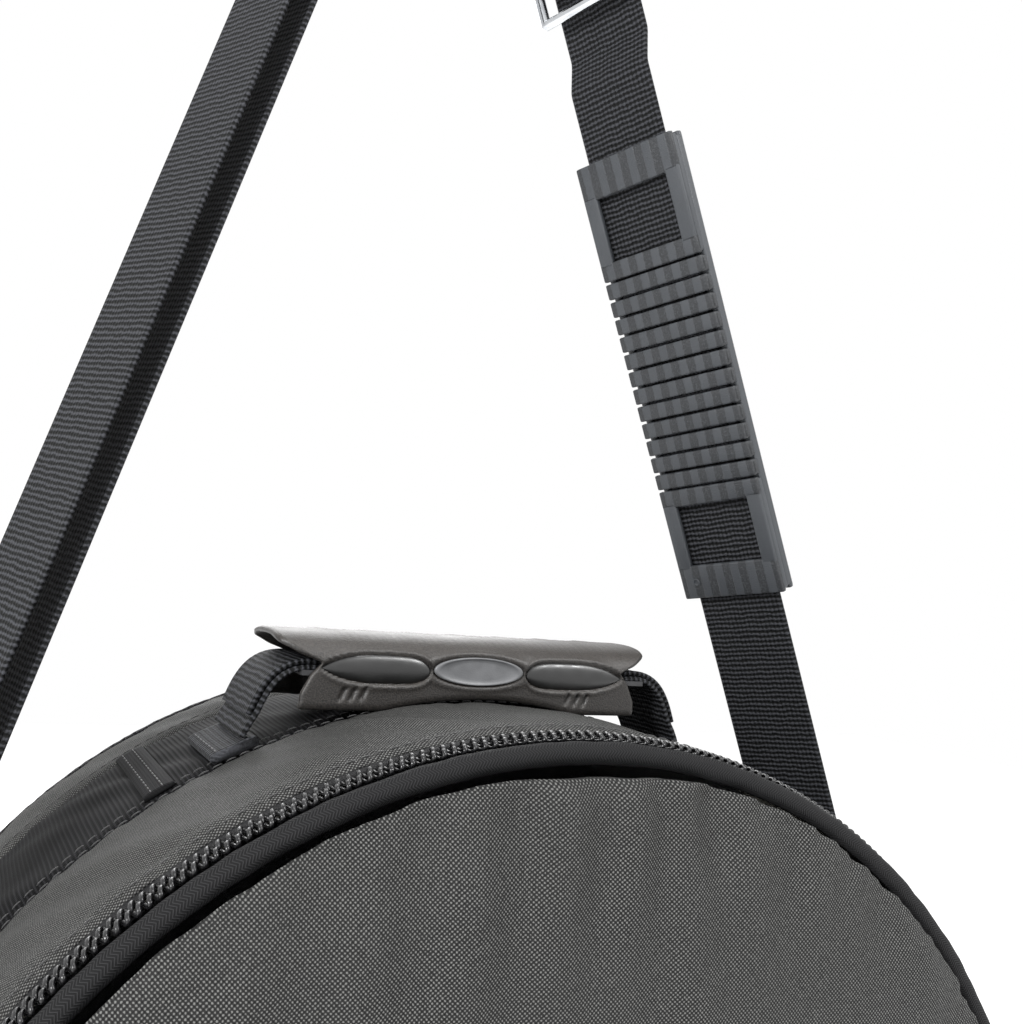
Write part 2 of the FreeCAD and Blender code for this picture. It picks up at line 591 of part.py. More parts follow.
def hook_plate(side):
    """The flat hook, open on its outer side for the gate, with the swivel barrel above it."""
    middle = HOOK_BORE_R - RING_WIRE_R - HOOK_SEAT
    half = HOOK_THICK / 2
    rim = HOOK_BORE_R + HOOK_RIM
    disc = rod(V(0, -half, middle), V(0, half, middle), rim)
    barrel = rod(V(0, 0, middle + HOOK_BORE_R + 0.5), V(0, 0, NECK_TOP), NECK_R)
    body = joined([disc, barrel])
    body = body.cut(rod(V(0, -half - 1, middle), V(0, half + 1, middle), HOOK_BORE_R))
    mouth = gate_sector(side, half + 1, MOUTH_LOW_DEG, MOUTH_HIGH_DEG, 1.0)
    fork = gate_sector(side, GATE_THICK / 2 + GATE_SIDE_GAP, FORK_LOW_DEG, FORK_HIGH_DEG, 1.0)
    pin = gate_pin_place(side)
    tip = math.radians(GATE_TIP_DEG)
    tip_r = rim - GATE_RIM_GAP
    tip_end = V(side * tip_r * math.cos(tip), 0, middle + tip_r * math.sin(tip))
    swing = rod(pin + V(0, -half - 1, 0), pin + V(0, half + 1, 0), (tip_end - pin).Length + JAW_GAP)
    jaw = gate_sector(side, half + 1, JAW_LOW_DEG, MOUTH_HIGH_DEG, 1.0).common(swing)
    pin_bore = rod(pin + V(0, -half - 1, 0), pin + V(0, half + 1, 0), GATE_PIN_R + RUNNING_CLEARANCE)
    body = body.cut(mouth).cut(fork).cut(jaw).cut(pin_bore)
    body = body.cut(rod(V(0, 0, HEAD_HIGH), V(0, 0, NECK_TOP + 1), POST_R + RUNNING_CLEARANCE))
    return body.cut(rod(V(0, 0, HEAD_ROOM_LOW), V(0, 0, HEAD_ROOM_HIGH), HEAD_ROOM_R))


def gate_sector(side, half_y, start_deg, end_deg, extra):
    """A piece of the hook's rim between two angles, on the side that faces away from the bag."""
    middle = HOOK_BORE_R - RING_WIRE_R - HOOK_SEAT
    inner = HOOK_BORE_R - extra
    outer = HOOK_BORE_R + HOOK_RIM + extra
    full = Part.makeCylinder(outer, 2 * half_y, V(0, -half_y, middle), V(0, 1, 0))
    full = full.cut(Part.makeCylinder(inner, 2 * half_y, V(0, -half_y, middle), V(0, 1, 0)))
    far = 4 * outer
    points = [V(0, -half_y, middle)]
    for deg in (start_deg, (start_deg + end_deg) / 2, end_deg):
        a = math.radians(deg)
        points.append(V(side * far * math.cos(a), -half_y, middle + far * math.sin(a)))
    wedge = Part.Face(Part.makePolygon(points + points[:1])).extrude(V(0, 2 * half_y, 0))
    return full.common(wedge)


def gate_pin_place(side):
    middle = HOOK_BORE_R - RING_WIRE_R - HOOK_SEAT
    radius = HOOK_BORE_R + HOOK_RIM / 2
    a = math.radians(GATE_PIN_DEG)
    return V(side * radius * math.cos(a), 0, middle + radius * math.sin(a))


def make_hooks():
    """Swivel snap hooks: hook, sprung gate, gate pin and the eye that the webbing goes round."""
    for label, side in (("left", -1), ("right", 1)):
        start, up = strand(side)
        pin = gate_pin_place(side)
        half = HOOK_THICK / 2
        gate_side = V(0, GATE_THICK / 2, 0)
        knuckle = rod(pin - gate_side, pin + gate_side, HOOK_RIM / 2 - GATE_RIM_GAP)
        gate = joined([gate_sector(side, GATE_THICK / 2, GATE_TIP_DEG, GATE_PIN_DEG, -GATE_RIM_GAP), knuckle])
        gate = gate.cut(rod(pin + V(0, -half, 0), pin + V(0, half, 0), GATE_PIN_R + RUNNING_CLEARANCE))
        pin_rod = rod(pin + V(0, -half - PIN_END, 0), pin + V(0, half + PIN_END, 0), GATE_PIN_R)
        spring = rod(pin + gate_side + V(0, SPRING_LOW, 0), pin + gate_side + V(0, SPRING_HIGH, 0), SPRING_R)
        spring = spring.cut(rod(pin + V(0, 0, 0), pin + V(0, half, 0), GATE_PIN_R + 2 * RUNNING_CLEARANCE))
        export("snap_hook_" + label, placed(hook_plate(side), start, up))
        export("hook_gate_" + label, placed(gate, start, up))
        export("gate_pin_" + label, placed(pin_rod, start, up))
        export("gate_spring_" + label, placed(spring, start, up))
        export("swivel_eye_" + label, placed(swivel_eye(), start, up))


def swivel_eye():
    """The strap's loop, riveted through the hook's barrel so that the hook can turn."""
    reach = WEBBING / 2 + BAR_ROOM + EYE_BAR_R
    low = NECK_TOP + MOVING_GAP + EYE_BAR_R
    high = EYE_BAR_P
    loop = wire_frame(reach, low, high, EYE_BAR_R)
    post = rod(V(0, 0, HEAD_LOW), V(0, 0, low), POST_R)
    head = rod(V(0, 0, HEAD_LOW), V(0, 0, HEAD_HIGH), HEAD_R)
    return loop.fuse(post).fuse(head)


def turned(outward, twist):
    """The strap's own outward direction and the direction across it, turned by twist degrees."""
    turn = math.radians(twist)
    square = V(0, 1, 0)
    across = outward * math.cos(turn) + square * math.sin(turn)
    return across, outward * math.sin(turn) - square * math.cos(turn)


def along(side, distance, out):
    """A station on one run: distance up the run from the bearing point, out away from the bag."""
    start, up = strand(side)
    outward = V(up.z, 0, -up.x) * side
    share = min(max((distance - TWIST_START) / TWIST_LENGTH, 0.0), 1.0)
    face, across = turned(outward, side * STRAP_TWIST * share)
    return start + up * distance + face * out, across


def round_bar(side, distance, radius, degrees):
    """Stations of webbing that folds round a bar of one run; 0 is its outer side, 90 is up."""
    stations = []
    for deg in degrees:
        a = math.radians(deg)
        stations.append(along(side, distance + radius * math.sin(a), radius * math.cos(a)))
    return stations


def run_length(side, z):
    start, up = strand(side)
    return (z - start.z) / up.z


def apex_bend(offset):
    """Stations over the top of the strap, from the right run to the left, offset outwards."""
    lean_right = math.degrees(math.atan2(-strand(1)[1].x, strand(1)[1].z))
    lean_left = math.degrees(math.atan2(strand(-1)[1].x, strand(-1)[1].z))
    middle = math.radians((lean_right + 180.0 - lean_left) / 2)
    drop = APEX_R / math.cos(math.radians((180.0 - lean_left - lean_right) / 2))
    centre_x = APEX_X - drop * math.cos(middle)
    centre_z = APEX_Z - drop * math.sin(middle)
    stations = []
    for i in range(APEX_STEPS + 1):
        share = i / APEX_STEPS
        a = math.radians(lean_right + (180.0 - lean_left - lean_right) * share)
        outward = V(math.cos(a), 0, math.sin(a))
        face, across = turned(outward, STRAP_TWIST * (1 - 2 * share))
        stations.append((V(centre_x, RING_Y, centre_z) + outward * APEX_R + face * offset, across))
    return stations


def make_strap():
    """One length of webbing: right hook, adjuster, over the top, left hook, and back to the adjuster."""
    half = WEBBING / 2
    bend_r = EYE_BAR_R + LOOP_CLEARANCE + WEB_THICK / 2
    adjust = run_length(1, ADJUSTER_Z)
    doubled = -WEB_THICK - LAYER_GAP
    sewn = [along(1, EYE_BAR_P + SEWN_BACK, doubled), along(1, EYE_BAR_P + BAR_LEAD, doubled)]
    fold = round_bar(1, EYE_BAR_P, bend_r, (180, 210, 240, 270, 300, 330, 360))
    main = [along(1, EYE_BAR_P + BAR_LEAD, 0.0), along(1, TWIST_START, 0.0),
            along(1, TWIST_START + TWIST_LENGTH, 0.0), along(1, adjust - JOG_START, 0.0),
            along(1, adjust - JOG_END, OUTER_OUT)]
    left_top = [along(-1, TWIST_START + TWIST_LENGTH, OUTER_OUT), along(-1, TWIST_START, OUTER_OUT)]
    left_fold = round_bar(-1, EYE_BAR_P, bend_r, (0, -30, -60, -90, -120, -150, -180))
    left_in = [along(-1, TWIST_START, INNER_OUT), along(-1, TWIST_START + TWIST_LENGTH, INNER_OUT)]
    end = [along(1, adjust + SEWN_END_LENGTH + ADJUSTER_PLAY + END_SPARE, INNER_OUT)]
    path = (sewn + fold + main + apex_bend(OUTER_OUT) + left_top + left_fold + left_in
            + apex_bend(INNER_OUT)[::-1] + end)
    export("strap_webbing", ribbon(path, WEB_THICK, half))
    make_adjuster(adjust)
    make_pad()


def make_adjuster(adjust):
    """Wire slider, and the webbing's sewn end folded round its middle bar."""
    start, up = strand(1)
    reach = WEBBING / 2 + ADJUSTER_ROOM + ADJUSTER_WIRE_R
    half = ADJUSTER_LENGTH / 2
    frame = wire_frame(reach, -half, half, ADJUSTER_WIRE_R)
    frame = frame.fuse(rod(V(0, -reach, 0), V(0, reach, 0), ADJUSTER_MIDDLE_R))
    frame.rotate(V(0, 0, 0), V(0, 0, 1), STRAP_TWIST)
    export("strap_adjuster", placed(frame, start + up * adjust, up))
    bend_r = ADJUSTER_MIDDLE_R + LOOP_CLEARANCE + WEB_THICK / 2
    doubled = INNER_OUT - WEB_THICK - LAYER_GAP
    top = [along(1, adjust + SEWN_END_LENGTH, INNER_OUT), along(1, adjust + ADJUSTER_LEAD, INNER_OUT)]
    fold = round_bar(1, adjust, bend_r, (50, 25, 0, -30, -60, -90, -120, -150, -180))
    tail = [along(1, adjust + ADJUSTER_LEAD, doubled),
            along(1, adjust + SEWN_END_LENGTH - SEWN_TAIL_SHORT, doubled)]
    export("strap_sewn_end", ribbon(top + fold + tail, WEB_THICK, WEBBING / 2))


def make_pad():
    """Moulded sleeve on the right run: two windows and a row of slats over the webbing."""
    start, up = strand(1)
    middle = run_length(1, PAD_MIDDLE_Z)
    half_l = PAD_LENGTH / 2
    half_w = PAD_WIDTH / 2
    half_t = PAD_THICK / 2
    body = block(-half_t, half_t, -half_w, half_w, -half_l, half_l)
    corners = [e for e in body.Edges if e.BoundBox.XLength > half_t]
    body = body.makeFillet(PAD_CORNER_R, corners)
    slot_t = WEB_THICK / 2 + PAD_SLOT_SPACE
    slot_w = WEBBING / 2 + 2 * PAD_SLOT_SPACE
    body = body.cut(block(-slot_t, slot_t, -slot_w, slot_w, -half_l - 1, half_l + 1))
    window_half = half_w - PAD_RAIL
    high = half_l - PAD_END_BAR
    for low, top in ((high - PAD_WINDOW, high), (-high, -high + PAD_WINDOW)):
        body = body.cut(block(-half_t - 1, 0, -window_half, window_half, low, top))
    field = high - PAD_WINDOW - PAD_CROSS_BAR
    pitch = 2 * field / PAD_SLATS
    for i in range(PAD_SLATS + 1):
        z = -field + i * pitch
        body = body.cut(block(-half_t - 1, 0, -half_w - 1, half_w + 1, z - PAD_SLIT / 2, z + PAD_SLIT / 2))
    body.rotate(V(0, 0, 0), V(0, 0, 1), STRAP_TWIST)
    export("shoulder_pad", placed(body, start + up * middle, up))


make_shell()
make_handle_anchors()
make_ring_tabs()
make_zip()
make_flap()
make_handle()
make_hooks()
make_strap()
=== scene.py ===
"""Arched skate bag: fabric, zip, grip, strap and hardware finished round its CAD frame.

Lengths are millimetres in the code and metres in the scene.  +Z is up and the zip faces -Y.
"""
import math

import bmesh
import bpy
import numpy as np
from mathutils import Matrix, Vector


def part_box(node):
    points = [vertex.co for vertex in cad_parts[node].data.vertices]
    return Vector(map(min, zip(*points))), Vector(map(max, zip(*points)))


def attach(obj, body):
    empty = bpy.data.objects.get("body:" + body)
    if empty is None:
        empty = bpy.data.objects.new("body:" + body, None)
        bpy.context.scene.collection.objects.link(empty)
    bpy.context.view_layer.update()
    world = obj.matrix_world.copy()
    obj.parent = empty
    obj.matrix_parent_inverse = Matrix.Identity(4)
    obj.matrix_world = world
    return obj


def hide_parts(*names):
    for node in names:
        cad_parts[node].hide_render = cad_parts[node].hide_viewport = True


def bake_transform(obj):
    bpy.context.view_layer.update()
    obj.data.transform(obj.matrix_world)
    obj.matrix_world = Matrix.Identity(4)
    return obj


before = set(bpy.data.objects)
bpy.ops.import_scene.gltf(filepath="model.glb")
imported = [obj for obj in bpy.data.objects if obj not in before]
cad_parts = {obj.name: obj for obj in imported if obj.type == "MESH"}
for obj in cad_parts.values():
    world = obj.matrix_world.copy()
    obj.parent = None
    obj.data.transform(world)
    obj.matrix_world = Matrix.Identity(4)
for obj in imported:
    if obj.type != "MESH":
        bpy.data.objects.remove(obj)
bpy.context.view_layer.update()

bl_info = {
    "name": "Skate bag",
    "version": (1, 0, 0),
    "blender": (4, 5, 0),
    "location": "View3D > Sidebar > Skate bag",
    "description": "Arched skate bag with a zipped front, a moulded carry grip and a padded strap",
    "category": "Object",
}

MM = 0.001


# ---------------------------------------------------------------- sizes taken from the frame
def span(node):
    """Lowest and highest corner of a CAD node, in millimetres."""
    low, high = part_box(node)
    return np.array(low) / MM, np.array(high) / MM


GUSSET_LOW, GUSSET_HIGH = span("gusset_front_strip")
MIDDLE_LOW, MIDDLE_HIGH = span("gusset_middle_strip")
BACK_STRIP_LOW, BACK_STRIP_HIGH = span("gusset_back_strip")
ARCH_R = GUSSET_HIGH[0]
ARCH_Z = GUSSET_HIGH[2] - ARCH_R
SEAM_Z = GUSSET_LOW[2]
PANEL_LOW, PANEL_HIGH = span("front_panel")
PANEL_SWELL = 4.0     # the padding carries the cloth this far out over the panel's seam
PANEL_INSET = ARCH_R - PANEL_HIGH[0] - PANEL_SWELL
BASE_LOW, BASE_HIGH = span("base_panel")
BASE_CORNER_R = span("back_piping")[0][2]
FABRIC = 1.0
ROW_LOW, ROW_HIGH = span("zip_coil_gusset")
FLAP_ROW_LOW, FLAP_ROW_HIGH = span("zip_coil_flap")
COIL_R = (ROW_HIGH[1] - ROW_LOW[1]) / 2
COIL_DEPTH = ARCH_R - ROW_HIGH[0] + COIL_R
GRIP_LOW, GRIP_HIGH = span("grip_body")
BADGE_LOW, BADGE_HIGH = span("grip_badge")
WEB_WIDTH = span("handle_webbing")[1][1] * 2
WEB_THICK = 1.8


# ---------------------------------------------------------------- colours and sizes a user may change
def linear(code):
    """An sRGB hex colour as linear RGBA."""
    parts = [int(code[i:i + 2], 16) / 255 for i in (1, 3, 5)]
    return [c / 12.92 if c <= 0.04045 else ((c + 0.055) / 1.055) ** 2.4 for c in parts] + [1.0]


def colour(name, description, code):
    """A colour property whose default is an sRGB hex value."""
    return bpy.props.FloatVectorProperty(name=name, description=description, size=4, subtype="COLOR",
                                         min=0, max=1, default=linear(code))


class SkateBagFinishes(bpy.types.PropertyGroup):
    """Colours of the bag's materials."""
    fabric: colour("Fabric", "Coated polyester of the panels", "#242424")
    fabric_dot: colour("Fabric dots", "Raised yarn crossings", "#6c6c6a")
    fabric_pit: colour("Fabric pits", "Shadowed gaps of the weave", "#0b0b0b")
    strip: colour("Ribbed strip", "Middle strip of the gusset", "#111112")
    webbing: colour("Webbing", "Strap and handle webbing", "#131415")
    tape: colour("Zip tape", "Woven zip tape", "#131314")
    coil: colour("Zip coil", "Nylon coil", "#0b0b0c")
    grip: colour("Grip", "Moulded grip", "#2b2826")
    badge: colour("Badge", "Oval plate on the grip", "#565759")
    pods: colour("Grip pods", "Glossy raised pods on the grip", "#0b0b0b")
    rubber: colour("Pad rubber", "Moulded shoulder pad", "#3a3d41")
    chrome: colour("Chrome", "Plated wire and hooks", "#d0d2d4")
    paint: colour("Slider paint", "Painted zip sliders and pulls", "#1b1b1c")
    lining: colour("Lining", "Lining cloth", "#47484a")
    foam: colour("Foam", "Foam between the cloths", "#b9b6ad")
    board: colour("Board", "Stiffener board in the base", "#2c2c2e")
    thread: colour("Thread", "Sewing thread", "#1f1f20")


class SkateBagSizes(bpy.types.PropertyGroup):
    """Sizes of the worked detail, in metres as the scene shows them."""
    coil_pitch: bpy.props.FloatProperty(name="Coil pitch", description="One turn of the zip coil",
                                        default=3.0 * MM, unit="LENGTH")
    coil_wire: bpy.props.FloatProperty(name="Coil wire", description="Radius of the coil's wire",
                                       default=0.55 * MM, unit="LENGTH")
    stitch: bpy.props.FloatProperty(name="Stitch", description="Length of one stitch",
                                    default=3.2 * MM, unit="LENGTH")
    puff: bpy.props.FloatProperty(name="Puff", description="Most that a padded panel may swell",
                                  default=4.0 * MM, unit="LENGTH")
    voxel: bpy.props.FloatProperty(name="Cloth cell", description="Cell of the cloth's mesh",
                                   default=4.5 * MM, unit="LENGTH")


def finishes():
    return bpy.context.scene.skate_bag_finishes


def sizes():
    return bpy.context.scene.skate_bag_sizes


# ---------------------------------------------------------------- mesh helpers
def new_piece(name, points, faces, uvs, material, body, nodes=(), closed=True):
    """A mesh piece from millimetre points, with a uv in millimetres for each corner of each face."""
    mesh = bpy.data.meshes.new(name)
    mesh.from_pydata([tuple(p) for p in np.asarray(points) * MM], [], faces)
    layer = mesh.uv_layers.new(name="cloth_mm")
    layer.data.foreach_set("uv", np.asarray(uvs, np.float32).ravel())
    mesh.polygons.foreach_set("use_smooth", [True] * len(mesh.polygons))
    if closed:
        work = bmesh.new()
        work.from_mesh(mesh)
        bmesh.ops.recalc_face_normals(work, faces=work.faces)
        work.to_mesh(mesh)
        work.free()
    mesh.materials.append(material)
    piece = bpy.data.objects.new(name, mesh)
    bpy.context.scene.collection.objects.link(piece)
    if body:
        settle(piece, body, nodes)
    return piece


def settle(piece, body, nodes=()):
    """Let a piece ride on its CAD body and stand for its CAD nodes."""
    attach(piece, body)
    if nodes:
        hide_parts(*nodes)


def grid_faces(rows, columns, u, v, ring_rows=False, ring_columns=False):
    """Quads and corner uvs of a grid, where u and v carry one more value than there are cells."""
    faces = []
    uvs = []
    for i in range(rows if ring_rows else rows - 1):
        for j in range(columns if ring_columns else columns - 1):
            i2 = (i + 1) % rows
            j2 = (j + 1) % columns
            faces.append((i * columns + j, i2 * columns + j, i2 * columns + j2, i * columns + j2))
            uvs += [(u[i], v[j]), (u[i + 1], v[j]), (u[i + 1], v[j + 1]), (u[i], v[j + 1])]
    return faces, uvs


def running_length(points, ring=False):
    """Distance along a line of points, with one extra value back to the start if it is a ring."""
    line = np.vstack([points, points[:1]]) if ring else np.asarray(points)
    steps = np.linalg.norm(np.diff(line, axis=0), axis=1)
    return np.concatenate([[0], np.cumsum(steps)])


def swept(name, centre, side, out, section, material, body, nodes=(), ring=False):
    """A closed section carried along a path; section is (m, 2) or one such per station."""
    section = np.asarray(section, float)
    if section.ndim == 2:
        section = np.repeat(section[None], len(centre), axis=0)
    points = centre[:, None] + side[:, None] * section[..., :1] + out[:, None] * section[..., 1:]
    rows, columns = points.shape[:2]
    u = running_length(centre, ring)
    v = running_length(section[rows // 2], True)
    faces, uvs = grid_faces(rows, columns, u, v, ring, True)
    if not ring:
        for end in (0, rows - 1):
            faces.append(tuple(end * columns + j for j in range(columns)))
            uvs += [(u[end], v[j]) for j in range(columns)]
    return new_piece(name, points.reshape(-1, 3), faces, uvs, material, body, nodes)


def resampled(stations, step, blur):
    """Stations spaced evenly along their first three values, softened over blur millimetres."""
    stations = np.asarray(stations, float)
    length = running_length(stations[:, :3])
    count = max(int(length[-1] / step), 2)
    even = np.linspace(0, length[-1], count + 1)
    line = np.column_stack([np.interp(even, length, column) for column in stations.T])
    if blur:
        reach = int(3 * blur / step) + 1
        weights = np.exp(-0.5 * (np.arange(-reach, reach + 1) * step / blur) ** 2)
        weights /= weights.sum()
        before = 2 * line[0] - line[reach:0:-1]
        after = 2 * line[-1] - line[-2:-reach - 2:-1]
        padded_line = np.vstack([before, line, after])
        line = np.column_stack([np.convolve(column, weights, "valid") for column in padded_line.T])
    return line


def unit(vectors):
    return vectors / np.linalg.norm(vectors, axis=-1, keepdims=True)


def webbing_section(width, thick, columns=10):
    """Flat webbing with a thicker woven selvedge at each edge."""
    half = width / 2
    across = np.linspace(-half + 1.6, half - 1.6, columns)
    top = [(a, thick * 0.44) for a in across]
    edge = [(half - 0.7, thick * 0.5), (half, thick * 0.2), (half, -thick * 0.2), (half - 0.7, -thick * 0.5)]
    bottom = [(a, -thick * 0.44) for a in across[::-1]]
    return np.array(top + edge + bottom + [(-a, -b) for a, b in edge])


def outline_path(low_z=SEAM_Z, step=3.0, inset=0.0):
    """Points, outward normals and lengths up the right side, over the arch and down the left."""
    half = ARCH_R - inset
    rise = ARCH_Z - low_z
    leg = max(int(rise / step), 2)
    turn = int(math.pi * half / step)
    z = np.linspace(low_z, ARCH_Z, leg, endpoint=False)
    angle = np.linspace(0, math.pi, turn + 1)
    right = np.column_stack([np.full(leg, half), z, np.ones(leg), np.zeros(leg)])
    arch = np.column_stack([half * np.cos(angle), ARCH_Z + half * np.sin(angle), np.cos(angle),
                            np.sin(angle)])
    left = right[::-1] * (-1, 1, -1, 1)
    line = np.vstack([right, arch, left])
    return line[:, :2], line[:, 2:], running_length(line[:, :2])


def base_path(step=3.0, high_z=None, inset=0.0):
    """Points and outward normals from the right side, round both corners, to the left side."""
    high_z = SEAM_Z if high_z is None else high_z
    flat = ARCH_R - BASE_CORNER_R
    radius = BASE_CORNER_R - inset
    turn = np.linspace(0, math.pi / 2, 18)
    upright = np.linspace(high_z, BASE_CORNER_R, max(int((high_z - BASE_CORNER_R) / step), 2), endpoint=False)
    right = [(ARCH_R - inset, z, 1, 0) for z in upright]
    corner = [(flat + radius * math.cos(a), BASE_CORNER_R - radius * math.sin(a), math.cos(a), -math.sin(a))
              for a in turn]
    floor = [(x, inset, 0, -1) for x in np.linspace(flat, -flat, int(2 * flat / step) + 1)[1:-1]]
    left = [(-x, z, -nx, nz) for x, z, nx, nz in (right + corner)[::-1]]
    line = np.array(right + corner + floor + left)
    return line[:, :2], line[:, 2:], running_length(line[:, :2])


def lifted(flat, y=0.0):
    """(x, z) pairs as points in space at y."""
    return np.column_stack([flat[:, 0], np.full(len(flat), y), flat[:, 1]])


def ripple(s, seed, shortest, longest, terms=6):
    """A smooth random wave between about -1 and 1, the same each run."""
    random = np.random.default_rng(seed)
    waves = np.geomspace(shortest, longest, terms)
    total = sum(np.sin(2 * math.pi * s / wave + random.uniform(0, 6.3)) for wave in waves)
    return total / math.sqrt(terms)


def ease(value, low, high):
    """0 below low, 1 above high, and a smooth step between."""
    t = np.clip((value - low) / (high - low), 0, 1)
    return t * t * (3 - 2 * t)


def edge_distance(x, z, inset, low_z):
    """How far inside a panel's edge a point lies, and its place along the arch."""
    half = ARCH_R - inset
    arch = half - np.hypot(x, z - ARCH_Z)
    upright = np.minimum(half - np.abs(x), z - low_z)
    distance = np.where(z > ARCH_Z, arch, upright)
    angle = np.arctan2(np.maximum(z - ARCH_Z, 0), x)
    along = np.where(z > ARCH_Z, angle * half, np.where(x > 0, z - ARCH_Z, math.pi * half + ARCH_Z - z))
    return distance, along


def panel_edge(inset, low_z, step=4.0):
    """Closed edge of a panel: over the arch, and along its straight or rounded foot."""
    top, _, _ = outline_path(max(low_z, BASE_CORNER_R), step, inset)
    if low_z >= BASE_CORNER_R:
        half = ARCH_R - inset
        foot = [(x, low_z) for x in np.linspace(-half, half, int(2 * half / step))[1:-1]]
    else:
        foot = base_path(step, BASE_CORNER_R + 0.01, inset)[0][::-1][2:-2]
    return np.vstack([top, foot])


def lens(name, edge, front, back, material, body, nodes=(), rings=26, crowd=2.0):
    """A closed panel between two faces, front(x, z) and back(x, z) giving each face's y."""
    middle = edge.mean(axis=0)
    shares = (1 - (1 - np.linspace(0, 1, rings + 1)[1:]) ** crowd)
    layers = []
    for face, order in ((front, shares), (back, shares[::-1])):
        for share in order:
            flat = middle + (edge - middle) * share
            layers.append(np.column_stack([flat[:, 0], face(flat[:, 0], flat[:, 1]), flat[:, 1]]))
    points = np.array(layers)
    rows, columns = points.shape[:2]
    flat_uv = points[..., [0, 2]].reshape(-1, 2)
    points = points.reshape(-1, 3)
    faces = []
    for i in range(rows - 1):
        for j in range(columns):
            j2 = (j + 1) % columns
            faces.append((i * columns + j, (i + 1) * columns + j, (i + 1) * columns + j2, i * columns + j2))
    for start, face in ((0, front), ((rows - 1) * columns, back)):
        hub = len(points)
        points = np.vstack([points, [middle[0], face(middle[:1], middle[1:])[0], middle[1]]])
        flat_uv = np.vstack([flat_uv, middle])
        faces += [(hub, start + j, start + (j + 1) % columns) for j in range(columns)]
    uvs = [flat_uv[corner] for face in faces for corner in face]
    return new_piece(name, points, faces, uvs, material, body, nodes)


def stitches(name, points, normals, body, gap=1.2, thick=0.2):
    """A row of thread stitches lying along a line of points."""
    length = running_length(points)
    stitch = sizes().stitch / MM
    starts = np.arange(1.0, length[-1] - stitch, stitch + gap)
    ring = [(math.cos(a), math.sin(a)) for a in np.linspace(0, 2 * math.pi, 6, endpoint=False)]
    shape = ((0.0, 0.25, -0.5), (0.18, 0.9, 0.25), (0.5, 1.0, 0.55), (0.82, 0.9, 0.25), (1.0, 0.25, -0.5))
    verts = []
    faces = []
    uvs = []
    for start in starts:
        base = len(verts)
        for share, width, lift in shape:
            at = start + share * stitch
            centre = np.array([np.interp(at, length, points[:, k]) for k in range(3)])
            normal = unit(np.array([np.interp(at, length, normals[:, k]) for k in range(3)]))
            ahead = np.array([np.interp(at + 0.5, length, points[:, k]) for k in range(3)]) - centre
            across = unit(np.cross(unit(ahead), normal))
            for c, s in ring:
                verts.append(centre + across * c * thick * width
                             + normal * (s * thick * width + lift * thick))
        for i in range(len(shape) - 1):
            for j in range(6):
                j2 = (j + 1) % 6
                row = base + i * 6
                faces.append((row + j, row + j2, row + 6 + j2, row + 6 + j))
                uvs += [(start + i, j), (start + i, j + 1), (start + i + 1, j + 1), (start + i + 1, j)]
        for end in (base, base + 24):
            faces.append(tuple(end + j for j in range(6)))
            uvs += [(start, j) for j in range(6)]
    return new_piece(name, np.array(verts), faces, uvs, spun_thread(), body)


def rounded_box(size, radius, steps=2):
    """Vertices and faces of a box with rounded edges, centred on the origin."""
    work = bmesh.new()
    bmesh.ops.create_cube(work, size=1.0, matrix=Matrix.Diagonal((*size, 1.0)))
    bmesh.ops.bevel(work, geom=work.edges[:], offset=radius, segments=steps, profile=0.6, affect="EDGES")
    bmesh.ops.triangulate(work, faces=[f for f in work.faces if len(f.verts) > 4])
    work.verts.ensure_lookup_table()
    verts = np.array([v.co for v in work.verts])
    faces = [tuple(v.index for v in f.verts) for f in work.faces]
    work.free()
    return verts, faces


# ---------------------------------------------------------------- material helpers
def add(tree, kind, inputs=None, **settings):
    """Add one shader node with its settings and its inputs, and return its first output."""
    made = tree.nodes.new("ShaderNode" + kind)
    for key, value in settings.items():
        setattr(made, key, value)
    for key, value in (inputs or {}).items():
        if isinstance(value, bpy.types.NodeSocket):
            tree.links.new(value, made.inputs[key])
        else:
            made.inputs[key].default_value = value
    return made.outputs[0] if made.outputs else None


def surface(name, paint, **shader_values):
    """A material, made once, whose paint(tree) gives colour, roughness and normal sockets or None."""
    found = bpy.data.materials.get(name)
    if found:
        return found
    material = bpy.data.materials.new(name)
    material.use_nodes = True
    tree = material.node_tree
    shader = tree.nodes["Principled BSDF"]
    base, roughness, normal = paint(tree)
    for key, value in (("Base Color", base), ("Roughness", roughness), ("Normal", normal)):
        if isinstance(value, bpy.types.NodeSocket):
            tree.links.new(value, shader.inputs[key])
        elif value is not None:
            shader.inputs[key].default_value = value
    for key, value in shader_values.items():
        shader.inputs[key.replace("_", " ")].default_value = value
    return material


def cloth_plane(tree, source):
    """Two sockets in millimetres: along and across the cloth, from its uvs or from the panel's face."""
    if source == "uv":
        split = add(tree, "SeparateXYZ", {0: add(tree, "UVMap", uv_map="cloth_mm")}).node
        return split.outputs[0], split.outputs[1]
    place = tree.nodes.new("ShaderNodeTexCoord").outputs["Object"]
    scaled = add(tree, "VectorMath", {0: place, 1: (1 / MM,) * 3}, operation="MULTIPLY")
    split = add(tree, "SeparateXYZ", {0: scaled}).node
    return split.outputs[0], split.outputs[2]


def wave(tree, value, pitch, shift=0.0):
    """A sine of value with the given pitch in millimetres, from -1 to 1."""
    turned = add(tree, "Math", {0: value, 1: 2 * math.pi / pitch, 2: shift}, operation="MULTIPLY_ADD")
    return add(tree, "Math", {0: turned}, operation="SINE")


def blotches(tree, size, detail=2.0, low=0.35, high=0.65):
    """Soft patches of about size millimetres, from 0 to 1."""
    place = tree.nodes.new("ShaderNodeTexCoord").outputs["Object"]
    cloud = add(tree, "TexNoise", {"Vector": place, "Scale": 1 / (size * MM), "Detail": detail})
    return add(tree, "MapRange", {0: cloud, 1: low, 2: high, 3: 0.0, 4: 1.0})


